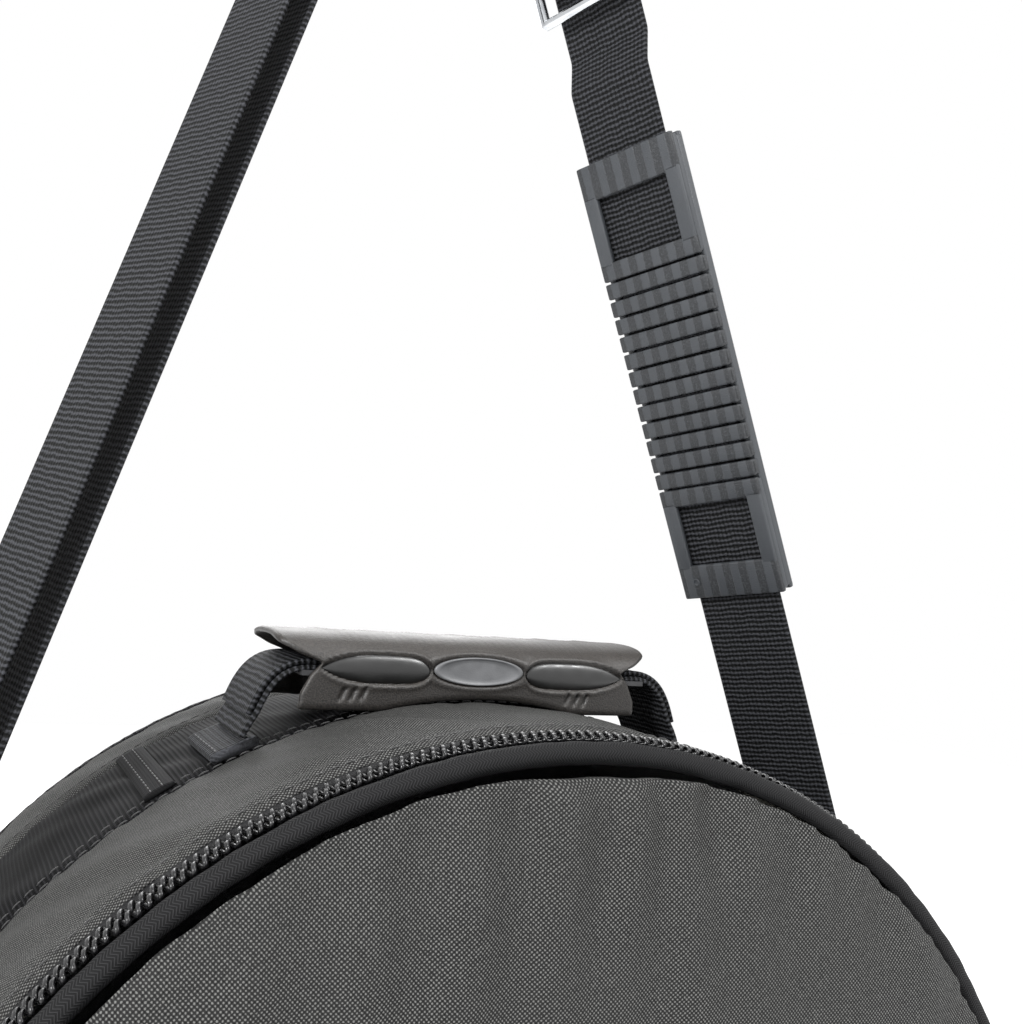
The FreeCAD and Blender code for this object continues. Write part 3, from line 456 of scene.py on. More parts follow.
def mixed(tree, share, first, second):
    """One colour turning into another as share goes from 0 to 1."""
    result = add(tree, "Mix", {0: share, 6: first, 7: second}, data_type="RGBA").node
    return result.outputs[2]


def raised(tree, height, depth, strength=1.0):
    """Normals of a height from 0 to 1 that stands depth millimetres high."""
    return add(tree, "Bump", {"Height": height, "Distance": depth * MM, "Strength": strength})


def tone(tree, share, stops):
    """A colour ramp through (place, colour) stops."""
    ramp = add(tree, "ValToRGB", {0: share}).node
    while len(ramp.color_ramp.elements) < len(stops):
        ramp.color_ramp.elements.new(0.5)
    for element, (place, shade) in zip(ramp.color_ramp.elements, stops):
        element.position = place
        element.color = shade
    return ramp.outputs[0]


# ---------------------------------------------------------------- materials
DIMPLE_PITCH = 1.25     # one repeat of the weave along either yarn, mm
RIB_PITCH = 1.5         # ribs of the middle strip, mm
WEBBING_RIB = 2.0       # picks of the heavy webbing, mm
WEBBING_WALE = 1.9      # warp bundles across the webbing, mm
TAPE_TWILL = 0.95       # twill lines of the zip tape, mm


def dimpled_polyester(source="uv"):
    """Coated polyester, woven in a dimple weave: dark diamond gaps and pale yarn crossings, a dry sheen."""
    def paint(tree):
        f = finishes()
        along, across = cloth_plane(tree, source)
        wobble = blotches(tree, 9.0, 3.0, 0.2, 0.8)
        moved = add(tree, "Math", {0: wobble, 1: 0.5, 2: along}, operation="MULTIPLY_ADD")
        weave = add(tree, "Math", {0: wave(tree, moved, DIMPLE_PITCH), 1: wave(tree, across, DIMPLE_PITCH)},
                    operation="MULTIPLY")
        height = add(tree, "Math", {0: weave, 1: 0.5, 2: 0.5}, operation="MULTIPLY_ADD")
        grain = blotches(tree, 0.5, 1.0, 0.3, 0.7)
        uneven = add(tree, "Math", {0: grain, 1: 0.3, 2: height}, operation="MULTIPLY_ADD")
        yarn = tone(tree, uneven, ((0.12, f.fabric_pit[:]), (0.42, f.fabric[:]), (0.75, f.fabric[:]),
                                   (1.0, f.fabric_dot[:])))
        worn = mixed(tree, add(tree, "Math", {0: blotches(tree, 60.0), 1: 0.16}, operation="MULTIPLY"),
                     yarn, linear("#333332"))
        rough = add(tree, "MapRange", {0: height, 1: 0.0, 2: 1.0, 3: 0.75, 4: 0.48})
        return worn, rough, raised(tree, uneven, 0.22, 0.8)
    return surface("dimple-woven polyester " + source, paint, Specular_IOR_Level=0.1)


def ribbed_polyester():
    """Polyester woven in fine crosswise ribs: darker and flatter than the dimpled cloth."""
    def paint(tree):
        f = finishes()
        along, across = cloth_plane(tree, "uv")
        ribs = wave(tree, along, RIB_PITCH)
        threads = wave(tree, across, RIB_PITCH * 0.7)
        weave = add(tree, "Math", {0: threads, 1: 0.3, 2: ribs}, operation="MULTIPLY_ADD")
        height = add(tree, "MapRange", {0: weave, 1: -1.3, 2: 1.3, 3: 0.0, 4: 1.0})
        yarn = tone(tree, height, ((0.1, linear("#0c0c0d")), (0.6, f.strip[:]), (1.0, linear("#28282a"))))
        return yarn, 0.7, raised(tree, height, 0.25, 0.8)
    return surface("rib-woven polyester", paint, Specular_IOR_Level=0.08)


def heavy_webbing():
    """Polyester webbing, loom-woven: coarse rows of picks under warp bundles, dull black."""
    def paint(tree):
        f = finishes()
        along, across = cloth_plane(tree, "uv")
        bundle = wave(tree, across, WEBBING_WALE)
        pulled = add(tree, "Math", {0: blotches(tree, 5.0, 3.0), 1: 0.5, 2: along}, operation="MULTIPLY_ADD")
        weave = add(tree, "Math", {0: bundle, 1: 0.45, 2: wave(tree, pulled, WEBBING_RIB)},
                    operation="MULTIPLY_ADD")
        fuzz = blotches(tree, 0.7, 2.0, 0.3, 0.7)
        height = add(tree, "MapRange", {0: weave, 1: -1.35, 2: 1.35, 3: 0.0, 4: 1.0})
        ragged = add(tree, "Math", {0: fuzz, 1: 0.3, 2: height}, operation="MULTIPLY_ADD")
        yarn = tone(tree, ragged, ((0.15, linear("#040404")), (0.55, f.webbing[:]), (1.0, linear("#3c3d41"))))
        return yarn, 0.66, raised(tree, ragged, 0.55, 1.0)
    return surface("loom-woven polyester webbing", paint, Specular_IOR_Level=0.15)


def zip_tape():
    """Polyester zip tape, woven in a fine herringbone: slanted lines that meet every few millimetres."""
    def paint(tree):
        f = finishes()
        along, across = cloth_plane(tree, "uv")
        zig = add(tree, "Math", {0: across, 1: 1.4}, operation="PINGPONG")
        slant = add(tree, "Math", {0: zig, 1: 0.9, 2: along}, operation="MULTIPLY_ADD")
        twill = add(tree, "Math", {0: wave(tree, slant, TAPE_TWILL), 1: 0.5, 2: 0.5},
                    operation="MULTIPLY_ADD")
        yarn = tone(tree, twill, ((0.1, linear("#121213")), (0.6, f.tape[:]), (1.0, linear("#2a2a2b"))))
        return yarn, 0.6, raised(tree, twill, 0.15, 0.8)
    return surface("herringbone-woven zip tape", paint, Specular_IOR_Level=0.12)


def nylon_coil():
    """Nylon monofilament, wound and heat-set: glossy and nearly black."""
    def paint(tree):
        rough = add(tree, "MapRange", {0: blotches(tree, 4.0), 1: 0.0, 2: 1.0, 3: 0.2, 4: 0.36})
        base = mixed(tree, blotches(tree, 7.0), finishes().coil[:], linear("#161618"))
        return base, rough, raised(tree, blotches(tree, 0.6), 0.04, 0.4)
    return surface("heat-set nylon coil", paint, IOR=1.53)


def spun_thread():
    """Polyester sewing thread, twisted: a soft dark line with a fine lay."""
    def paint(tree):
        along, across = cloth_plane(tree, "uv")
        lay = wave(tree, add(tree, "Math", {0: along, 1: across}, operation="ADD"), 1.0)
        height = add(tree, "Math", {0: lay, 1: 0.5, 2: 0.5}, operation="MULTIPLY_ADD")
        base = mixed(tree, height, finishes().thread[:], linear("#333333"))
        return base, 0.6, raised(tree, height, 0.08, 0.6)
    return surface("twisted polyester thread", paint, Sheen_Weight=0.3)


def grained_polypropylene():
    """Polypropylene, injection-moulded in a spark-eroded tool: fine grain, satin, greyed where hands rub,
    with painted shade darkening the faces that turn down or to the front.
    """
    def paint(tree):
        f = finishes()
        grain = blotches(tree, 0.55, 2.0, 0.3, 0.7)
        handled = blotches(tree, 22.0, 3.0)
        # painted shade and light: faces turning down or to the front are mixed towards near-black #171616,
        # and faces turning up keep the grip's lighter tone, as if lit from above
        upward = add(tree, "SeparateXYZ", {0: tree.nodes.new("ShaderNodeNewGeometry").outputs["Normal"]}).node
        painted_top_light_share = add(tree, "MapRange", {0: upward.outputs[2], 1: 0.1, 2: 0.75, 3: 0.0, 4: 1.0})
        rubbed = mixed(tree, handled, f.grip[:], linear("#24211f"))
        base = mixed(tree, painted_top_light_share, linear("#171616"), rubbed)
        speckled = mixed(tree, add(tree, "Math", {0: grain, 1: 0.35}, operation="MULTIPLY"), base,
                         linear("#55504b"))
        rough = add(tree, "MapRange", {0: handled, 1: 0.0, 2: 1.0, 3: 0.5, 4: 0.38})
        return speckled, rough, raised(tree, grain, 0.09, 0.6)
    return surface("injection-moulded polypropylene", paint, IOR=1.49)


def satin_badge_plastic():
    """ABS, moulded and satin-painted: a lighter, smoother grey than the grip."""
    def paint(tree):
        grain = blotches(tree, 0.4, 1.0, 0.3, 0.7)
        base = mixed(tree, blotches(tree, 8.0), finishes().badge[:], linear("#696a6c"))
        return base, 0.42, raised(tree, grain, 0.04, 0.4)
    return surface("satin-painted ABS", paint, IOR=1.53)


def polished_pod_plastic():
    """Polypropylene, moulded against a polished part of the tool: black, with one long soft highlight."""
    def paint(tree):
        base = mixed(tree, blotches(tree, 12.0), finishes().pods[:], linear("#101010"))
        rough = add(tree, "MapRange", {0: blotches(tree, 5.0, 4.0), 1: 0.0, 2: 1.0, 3: 0.28, 4: 0.4})
        return base, rough, raised(tree, blotches(tree, 0.5), 0.02, 0.3)
    return surface("polished polypropylene", paint, IOR=1.49, Specular_IOR_Level=0.9)


def moulded_rubber(marked=False):
    """Rubber, compression-moulded: slate grey, dull and faintly dusty, scuffed in rows where it is marked."""
    def paint(tree):
        f = finishes()
        dust = blotches(tree, 14.0, 4.0)
        base = mixed(tree, dust, f.rubber[:], linear("#34373b"))
        grain = blotches(tree, 0.5, 2.0, 0.3, 0.7)
        height = grain
        if marked:
            along, across = cloth_plane(tree, "uv")
            moved = add(tree, "Math", {0: across, 1: MARK_PITCH / 2}, operation="ADD")
            cell = add(tree, "Math", {0: moved, 1: MARK_PITCH / 2}, operation="PINGPONG")
            ragged = add(tree, "Math", {0: blotches(tree, 1.0, 3.0), 1: 0.35, 2: cell},
                         operation="MULTIPLY_ADD")
            scuff = add(tree, "MapRange", {0: ragged, 1: MARK_PITCH / 2 - 1.9, 2: MARK_PITCH / 2 - 1.6,
                                           3: 0.0, 4: 1.0})
            rough_patch = add(tree, "Math", {0: scuff, 1: blotches(tree, 0.7, 3.0, 0.2, 0.5)},
                              operation="MULTIPLY")
            base = mixed(tree, rough_patch, base, linear("#222427"))
            height = add(tree, "Math", {0: rough_patch, 1: -2.0, 2: grain}, operation="MULTIPLY_ADD")
        rough = add(tree, "MapRange", {0: dust, 1: 0.0, 2: 1.0, 3: 0.6, 4: 0.48})
        return base, rough, raised(tree, height, 0.1, 0.7)
    return surface("compression-moulded rubber" + (" with scuffs" if marked else ""), paint, IOR=1.52)


def chromed_steel():
    """Steel wire, bent and chrome-plated: bright, with faint hairlines and dulled patches."""
    def paint(tree):
        rough = add(tree, "MapRange", {0: blotches(tree, 5.0, 4.0), 1: 0.0, 2: 1.0, 3: 0.08, 4: 0.24})
        base = mixed(tree, blotches(tree, 9.0), finishes().chrome[:], linear("#b4b7bb"))
        return base, rough, raised(tree, blotches(tree, 0.8, 4.0), 0.02, 0.3)
    return surface("chrome-plated steel", paint, Metallic=1.0)


def painted_zinc():
    """Zinc alloy, die-cast and stove-enamelled black: satin, with the paint thinning in small chips."""
    def paint(tree):
        chips = blotches(tree, 1.6, 5.0, 0.62, 0.66)
        base = mixed(tree, chips, finishes().paint[:], linear("#5f6062"))
        rough = add(tree, "MapRange", {0: blotches(tree, 3.0), 1: 0.0, 2: 1.0, 3: 0.3, 4: 0.42})
        return base, rough, raised(tree, chips, -0.05, 0.5)
    return surface("stove-enamelled zinc", paint, IOR=1.5)


def plain_lining():
    """Polyester taffeta, plain-woven: a thin cloth with a slight shine and a tight square weave."""
    def paint(tree):
        along, across = cloth_plane(tree, "uv")
        weave = add(tree, "Math", {0: wave(tree, along, 1.1), 1: wave(tree, across, 1.1)},
                    operation="MULTIPLY")
        height = add(tree, "Math", {0: weave, 1: 0.5, 2: 0.5}, operation="MULTIPLY_ADD")
        base = mixed(tree, height, linear("#303133"), finishes().lining[:])
        return base, 0.5, raised(tree, height, 0.12, 0.6)
    return surface("plain-woven lining", paint, Sheen_Weight=0.2)


def base_cloth():
    """Heavy polyester with a rubbery coat: dark, leathery, and scuffed where it stands."""
    def paint(tree):
        along, across = cloth_plane(tree, "uv")
        weave = add(tree, "Math", {0: wave(tree, along, 2.0), 1: wave(tree, across, 2.0)},
                    operation="MULTIPLY")
        grain = blotches(tree, 1.2, 3.0, 0.3, 0.7)
        height = add(tree, "Math", {0: weave, 1: 0.3, 2: grain}, operation="MULTIPLY_ADD")
        base = mixed(tree, blotches(tree, 18.0, 5.0, 0.45, 0.75), linear("#232324"), linear("#3d3d3d"))
        return base, 0.6, raised(tree, height, 0.2, 0.7)
    return surface("coated base cloth", paint)


def open_foam():
    """Polyether foam, cut from block: pale and matt with open cells."""
    def paint(tree):
        place = tree.nodes.new("ShaderNodeTexCoord").outputs["Object"]
        cells = add(tree, "TexVoronoi", {"Vector": place, "Scale": 900.0})
        base = mixed(tree, cells, linear("#8f8c84"), finishes().foam[:])
        return base, 0.9, raised(tree, cells, 0.3, 0.8)
    return surface("cut polyether foam", paint)


def pressed_board():
    """Polyethylene board, extruded: dull, with a faint drawn grain."""
    def paint(tree):
        return mixed(tree, blotches(tree, 6.0), finishes().board[:], linear("#39393b")), 0.5, \
            raised(tree, blotches(tree, 0.8), 0.05, 0.4)
    return surface("extruded polyethylene board", paint, IOR=1.51)


def floor_paper():
    """Seamless studio paper: matt, nearly white, with a faint tooth."""
    def paint(tree):
        return mixed(tree, blotches(tree, 300.0), linear("#fdfdfd"), linear("#fbfbfb")), 0.85, \
            raised(tree, blotches(tree, 1.5), 0.03, 0.2)
    return surface("matt studio paper", paint)


def finish_node(node, material):
    """Give a CAD node its finish, on the object's own slots."""
    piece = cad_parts[node]
    if not piece.material_slots:
        piece.data.materials.append(material)
    for place in piece.material_slots:
        place.link = "OBJECT"
        place.material = material


# ---------------------------------------------------------------- gusset, base and back
def strip_section(y0, y1, s, seed, folded_edge):
    """Cross-sections of one gusset strip: crowned outside, tucked in at both seams, flat inside."""
    count = int((y1 - y0) / 3.2)
    y = np.concatenate([[y0, y0 + 0.5, y0 + 1.6], np.linspace(y0 + 3.4, y1 - 3.4, count),
                        [y1 - 1.6, y1 - 0.5, y1]])
    inward = np.minimum(y - y0, y1 - y)
    tuck = -0.75 * np.exp(-(inward / 1.6) ** 2)
    crown = 0.7 * np.sin(math.pi * (y - y0) / (y1 - y0))
    sections = []
    for i, at in enumerate(s):
        near = np.exp(-inward / 9.0)
        gathers = 0.28 * near * (ripple(at, seed, 7.0, 26.0)
                                 + 0.5 * ripple(at + y * 0.3, seed + 1, 5.0, 14.0))
        slack = 0.65 * (1 + ripple(at + y * 0.8, seed + 2, 70.0, 240.0, 4)) * (1 - near)
        slack = slack + 0.5 * (ripple(at - y * 0.9, seed + 4, 22.0, 60.0, 5) - 0.6) * (1 - near)
        lift = tuck + crown + gathers + slack
        if folded_edge:
            ridge = y0 + 6.0 + 0.7 * ripple(at, seed + 3, 24.0, 90.0, 4)
            lift = lift + 0.55 * np.exp(-((y - ridge) / 1.3) ** 2)
            lift = lift - 0.3 * np.exp(-((y - ridge - 3.0) / 1.2) ** 2)
        outer = np.column_stack([y, np.maximum(lift, -FABRIC * 0.9)])
        inner = np.column_stack([y[::-1], np.full(len(y), -FABRIC)])
        sections.append(np.vstack([outer, inner]))
    return np.array(sections)


def across_for(flat):
    """The across direction, +Y, at every point of a path that follows the bag's outline."""
    return np.tile((0.0, 1.0, 0.0), (len(flat), 1))


class MakeGusset(bpy.types.Operator):
    """Make the three cloth strips that run up one side, over the arch and down the other"""
    bl_idname = "skate_bag.gusset"
    bl_label = "Gusset"

    def execute(self, context):
        flat, normal, s = outline_path(SEAM_Z + 0.3)
        across = across_for(flat)
        strips = (("gusset_front_strip", GUSSET_LOW[1], GUSSET_HIGH[1], dimpled_polyester("uv"), True),
                  ("gusset_middle_strip", MIDDLE_LOW[1], MIDDLE_HIGH[1], ribbed_polyester(), False),
                  ("gusset_back_strip", BACK_STRIP_LOW[1], BACK_STRIP_HIGH[1], dimpled_polyester("uv"),
                   False))
        for seed, (node, y0, y1, material, folded) in enumerate(strips):
            sections = strip_section(y0, y1, s, 10 * seed + 3, folded)
            swept("cloth_" + node, lifted(flat), across, lifted(normal), sections, material, "bag", [node])
        rows = ((GUSSET_LOW[1] + 3.2, 0.15), (MIDDLE_LOW[1] - 4.0, 0.35), (MIDDLE_LOW[1] + 3.4, 0.2),
                (MIDDLE_HIGH[1] + 4.0, 0.35), (BACK_STRIP_HIGH[1] - 3.4, 0.2))
        for i, (y, lift) in enumerate(rows):
            line = lifted(flat + normal * (0.55 + lift), y)
            stitches("gusset_stitching_%d" % (i + 1), line, lifted(normal), "bag")
        self.make_cross_seam()
        return {"FINISHED"}

    def make_cross_seam(self):
        """The seam where the ends of the ribbed strip are joined, down the left side of the arch."""
        turn = math.radians(123.0)
        normal = np.array([math.cos(turn), 0.0, math.sin(turn)])
        along = np.array([-normal[2], 0.0, normal[0]])
        y = np.linspace(MIDDLE_LOW[1] + 2.0, MIDDLE_HIGH[1] - 2.0, 30)
        middle = np.array([0, 0, ARCH_Z]) + normal * (ARCH_R + 1.6)
        centre = middle + np.column_stack([np.zeros(30), y, np.zeros(30)])
        fold = [(-5, -1.2), (-4.6, -0.2), (-2, 0.35), (3.4, 0.5), (5, 0.1), (5.4, -1.2)]
        swept("gusset_joining_seam", centre, np.tile(along, (30, 1)), np.tile(normal, (30, 1)), fold,
              ribbed_polyester(), "bag")
        for i, offset in enumerate((-1.4, 2.4)):
            stitches("joining_seam_stitching_%d" % (i + 1), centre + along * offset + normal * 0.45,
                     np.tile(normal, (30, 1)), "bag")


class MakeBase(bpy.types.Operator):
    """Make the coated base, turned up at both sides"""
    bl_idname = "skate_bag.base"
    bl_label = "Base"

    def execute(self, context):
        flat, normal, s = base_path(3.0, SEAM_Z - 0.15)
        y = np.linspace(BASE_LOW[1], BASE_HIGH[1], 46)
        inward = np.minimum(y - y[0], y[-1] - y)
        side = np.clip(flat[:, 1] / BASE_CORNER_R, 0, 1)
        sections = []
        for at, share in zip(s, side):
            soft = 0.35 * (1 + ripple(at + y, 71, 30.0, 120.0, 4)) * share
            lift = soft - 0.6 * np.exp(-(inward / 1.5) ** 2) * share
            outer = np.column_stack([y, np.maximum(lift, -0.8)])
            inner = np.column_stack([y[::-1], np.full(len(y), -FABRIC)])
            sections.append(np.vstack([outer, inner]))
        swept("base_cloth", lifted(flat), across_for(flat), lifted(normal), np.array(sections), base_cloth(),
              "bag", ["base_panel"])
        for side in (-1, 1):
            line = np.array([(side * (ARCH_R + 0.5), y, SEAM_Z - 3.5)
                             for y in np.linspace(BASE_LOW[1] + 16, BASE_HIGH[1] - 3, 60)])
            normals = np.tile((side, 0.0, 0.0), (60, 1))
            stitches("base_seam_stitching_" + ("right" if side > 0 else "left"), line, normals, "bag")
        return {"FINISHED"}


def swollen(piece, held, cap, frames=20):
    """Let cloth pressure fill a closed panel, holding the points where held(x, y, z) is true."""
    remesh = piece.modifiers.new("cells", "REMESH")
    remesh.mode = "VOXEL"
    remesh.voxel_size = sizes().voxel
    take_modifiers(piece)
    start = read_points(piece)
    group = piece.vertex_groups.new(name="held")
    group.add([int(i) for i in np.nonzero(held(start))[0]], 1.0, "REPLACE")
    cloth = piece.modifiers.new("cloth", "CLOTH")
    cloth.settings.quality = 4
    cloth.settings.use_pressure = True
    cloth.settings.uniform_pressure_force = 4.0
    cloth.settings.vertex_group_mass = "held"
    cloth.settings.effector_weights.gravity = 0.0
    cloth.point_cache.frame_start = 1
    cloth.point_cache.frame_end = frames
    scene = bpy.context.scene
    for at in range(1, frames + 1):
        scene.frame_set(at)
    take_modifiers(piece)
    scene.frame_set(1)
    piece.vertex_groups.clear()
    moved = read_points(piece) - start
    reach = np.linalg.norm(moved, axis=1, keepdims=True)
    write_points(piece, start + moved * np.minimum(1, cap / np.maximum(reach, 1e-6)))
    smooth = piece.modifiers.new("smooth", "SUBSURF")
    smooth.levels = 1
    take_modifiers(piece)


def take_modifiers(piece):
    """Apply every modifier of a piece to its mesh, which has to be left with faces."""
    seen = piece.evaluated_get(bpy.context.evaluated_depsgraph_get())
    mesh = bpy.data.meshes.new_from_object(seen)
    if not mesh.polygons:
        raise RuntimeError(piece.name + " has no faces left")
    piece.modifiers.clear()
    piece.data = mesh


def read_points(piece):
    """A piece's points in millimetres."""
    flat = np.empty(len(piece.data.vertices) * 3)
    piece.data.vertices.foreach_get("co", flat)
    return flat.reshape(-1, 3) / MM


def write_points(piece, points):
    piece.data.vertices.foreach_set("co", (points * MM).ravel())
    piece.data.update()


class MakeBack(bpy.types.Operator):
    """Make the padded back panel and the cord round its edge"""
    bl_idname = "skate_bag.back"
    bl_label = "Back panel"

    def execute(self, context):
        low, high = span("back_panel")
        inset = ARCH_R - high[0]
        edge = panel_edge(inset, low[2], 6.0)

        def outer(x, z):
            distance, along = edge_distance(x, z, inset, low[2])
            gathers = 0.5 * np.exp(-distance / 8) * ripple(along, 91, 12, 40)
            return high[1] - 0.4 + 2.2 * ease(distance, 0, 60) + gathers

        seat = span("gusset_lining")[1][1] + 0.25
        piece = lens("back_cushion", edge, outer, lambda x, z: np.full(len(x), seat),
                     dimpled_polyester("panel"), None, rings=30)
        base_y = seat + 0.35
        swollen(piece, lambda p: p[:, 1] < base_y, sizes().puff / MM)
        points = read_points(piece)
        points[:, 1] = np.where(points[:, 1] < base_y, np.maximum(points[:, 1], seat - 0.02), points[:, 1])
        write_points(piece, points)
        settle(piece, "bag", ["back_panel", "back_foam"])
        radius = (span("back_piping")[1][1] - span("back_piping")[0][1]) / 2
        y = span("back_piping")[1][1] - radius
        flat, normal, s = outline_path(BASE_CORNER_R, 2.0, radius)
        ring = np.linspace(0, 2 * math.pi, 14, endpoint=False)
        section = np.column_stack([radius * np.cos(ring), radius * np.sin(ring)])
        swell = 1 + 0.05 * ripple(s, 93, 4.0, 15.0)
        swept("back_edge_piping", lifted(flat, y), across_for(flat), lifted(normal),
              section[None] * swell[:, None, None], ribbed_polyester(), "bag", ["back_piping"])
        return {"FINISHED"}


# ---------------------------------------------------------------- front flap
# Each fold: x where it starts at the top seam, lean, half-width, depth and how far down it runs.
FOLDS = ((-74.0, -0.10, 6.5, 1.6, 80.0), (-49.0, -0.04, 6.0, 1.8, 95.0), (-23.5, 0.03, 6.0, 2.4, 115.0),
         (0.5, 0.02, 6.5, 2.2, 110.0), (18.0, 0.05, 5.5, 3.0, 140.0), (-110.0, -0.2, 7.0, 1.2, 60.0),
         (36.0, 0.08, 6.0, 1.6, 110.0), (62.0, 0.12, 7.0, 0.9, 60.0), (101.0, 0.2, 7.0, 0.7, 50.0))


def fold_depth(x, z, inset):
    """How far the front cloth sinks at a point: soft folds hanging from the seam, and edge gathers."""
    distance, along = edge_distance(x, z, inset, PANEL_LOW[2])
    depth = 0.35 * np.exp(-distance / 8.0) * (1 + ripple(along, 21, 6.0, 22.0)) * ease(distance, 1.5, 5.0)
    depth = depth - 0.5 * (1 + ripple(along + distance, 22, 60.0, 200.0, 4)) * ease(distance, 10, 60)
    for at, lean, half, deep, reach in FOLDS:
        top = ARCH_Z + math.sqrt((ARCH_R - inset) ** 2 - at * at)
        down = top - z
        middle = at + lean * down + 0.9 * np.sin(down / 11.0)
        across = (x - middle) / (half * (1 + down / 120.0))
        run = ease(down, 1.0, 8.0) * np.exp(-(np.maximum(down, 0) / reach) ** 2)
        depth = depth + deep * run * (np.exp(-across ** 2) - 0.5 * np.exp(-(np.abs(across) - 1.7) ** 2 / 0.8))
    return depth


class MakeFlap(bpy.types.Operator):
    """Make the padded front that drops down, the taped roll round it, and the fixed foot below it"""
    bl_idname = "skate_bag.flap"
    bl_label = "Front flap"

    def execute(self, context):
        inset = PANEL_INSET
        seat = PANEL_HIGH[1]
        front = PANEL_LOW[1]
        edge = panel_edge(inset + 0.3, PANEL_LOW[2], 4.0)
        rounding = (seat - front) * 0.9

        def face(x, z):
            distance = np.maximum(edge_distance(x, z, inset, PANEL_LOW[2])[0], 0)
            rim = rounding - np.sqrt(np.maximum(rounding ** 2
                                                - (rounding - np.minimum(distance, rounding)) ** 2, 0))
            return front + 0.4 + rim

        piece = lens("front_cushion", edge, face, lambda x, z: np.full(len(x), seat - 0.02),
                     dimpled_polyester("panel"), None, rings=40, crowd=2.4)
        swollen(piece, lambda p: p[:, 1] > seat - 1.2, sizes().puff / MM * 0.8)
        points = read_points(piece)
        skin = 1 - ease(points[:, 1], seat - 4.0, seat - 1.0)
        points[:, 1] += fold_depth(points[:, 0], points[:, 2], inset) * skin
        points[:, 1] = np.minimum(points[:, 1], seat + 0.05)
        points[:, 2] = np.maximum(points[:, 2], PANEL_LOW[2])
        write_points(piece, points)
        settle(piece, "flap", ["front_panel", "front_foam"])
        self.make_roll()
        self.make_foot()
        return {"FINISHED"}

    def make_roll(self):
        """Zip tape turned over the front edge of the flap in a soft roll."""
        low = span("zip_tape_flap")[0][2]
        flat, normal, s = outline_path(low, 2.5)
        bend = np.array([(-90.7, -2.6, 0), (-91.6, -1.4, 0), (-93.4, -0.9, 0), (-95.4, -1.6, 0),
                         (-96.7, -3.2, 0),
                         (-96.9, -4.9, 0), (-96.0, -6.4, 0), (-95.0, -7.4, 0)])
        curve = resampled(bend, 0.5, 0.6)[:, :2]
        ahead = unit(np.gradient(curve, axis=0))
        inside = curve + np.column_stack([-ahead[:, 1], ahead[:, 0]]) * -0.8
        middle = np.array([-93.2, -5.0])
        half_way = len(curve) // 2
        if np.linalg.norm(inside[half_way] - middle) > np.linalg.norm(curve[half_way] - middle):
            inside = curve + np.column_stack([-ahead[:, 1], ahead[:, 0]]) * 0.8
        loop = np.vstack([curve, inside[::-1]])
        puff = 1 + 0.035 * ripple(s, 41, 9.0, 40.0)
        sections = middle + (loop - middle)[None] * puff[:, None, None]
        swept("flap_tape_roll", lifted(flat), across_for(flat), lifted(normal), sections, zip_tape(), "flap",
              ["zip_tape_flap"])

    def make_foot(self):
        """The padded strip below the fold, fixed to the base."""
        low, high = span("front_lower_panel")
        inset = PANEL_INSET
        seat = high[1]
        foot = base_path(3.0, high[2], inset)[0]
        top = np.array([(x, high[2]) for x in np.linspace(foot[-1][0], foot[0][0], 110)[1:-1]])
        edge = np.vstack([foot, top])

        def face(x, z):
            side = np.minimum(np.abs(np.abs(x) - ARCH_R + inset), np.minimum(z - low[2], high[2] - z) + 0.01)
            rim = 5.0 * np.exp(-np.maximum(side, 0) / 2.6)
            return low[1] + 0.5 + rim + 0.25 * ripple(x + z, 55, 20, 90, 4)

        piece = lens("front_foot_cushion", edge, face, lambda x, z: np.full(len(x), seat),
                     dimpled_polyester("panel"),
                     "bag", ["front_lower_panel"], rings=16)


# ---------------------------------------------------------------- zip
class MakeZip(bpy.types.Operator):
    """Make both rows of wound coil and the gusset's tape, and finish the sliders and pulls"""
    bl_idname = "skate_bag.zip"
    bl_label = "Zip"

    def execute(self, context):
        wire = sizes().coil_wire / MM
        rows = (("coil_row_gusset", ROW_LOW, ROW_HIGH, 2.5, 0.0, "bag", "zip_coil_gusset"),
                ("coil_row_flap", FLAP_ROW_LOW, FLAP_ROW_HIGH, 2.1, math.pi, "flap", "zip_coil_flap"))
        for name, low, high, reach, shift, body, node in rows:
            self.make_row(name, low[2], (low[1] + high[1]) / 2, reach, shift, wire, body, node)
        low, high = span("zip_tape_gusset")
        flat, normal, s = outline_path(low[2])
        top = high[0] - ARCH_R
        section = [(low[1], top), (low[1] + 2, top + 0.25), (low[1] + 4, top + 0.2), (high[1], top),
                   (high[1], top - 0.7), (low[1] + 3, top - 0.6), (low[1], top - 0.7)]
        swept("gusset_zip_tape", lifted(flat), across_for(flat), lifted(normal), section, zip_tape(), "bag",
              ["zip_tape_gusset"])
        for node in ("zip_slider_a", "zip_slider_b", "zip_pull_a", "zip_pull_b"):
            finish_node(node, painted_zinc())
        finish_node("zip_end_stop_left", nylon_coil())
        finish_node("zip_end_stop_right", nylon_coil())
        return {"FINISHED"}

    def make_row(self, name, low_z, y, reach, shift, wire, body, node):
        flat, normal, s = outline_path(low_z, 0.25, COIL_DEPTH - 0.45)
        pitch = sizes().coil_pitch / MM
        turn = 2 * math.pi * s / pitch + shift
        lift = (COIL_R - wire) * np.sin(turn)
        line = lifted(flat + normal * lift[:, None], y)
        line[:, 1] += reach * np.cos(turn)
        ahead = unit(np.gradient(line, axis=0))
        path = unit(np.gradient(lifted(flat), axis=0))
        side = unit(path - ahead * np.sum(path * ahead, axis=1, keepdims=True))
        out = np.cross(ahead, side)
        ring = np.linspace(0, 2 * math.pi, 6, endpoint=False)
        section = np.column_stack([np.cos(ring), np.sin(ring)]) * wire * (1.3, 1.0)
        swept(name, line, side, out, section, nylon_coil(), body, [node])


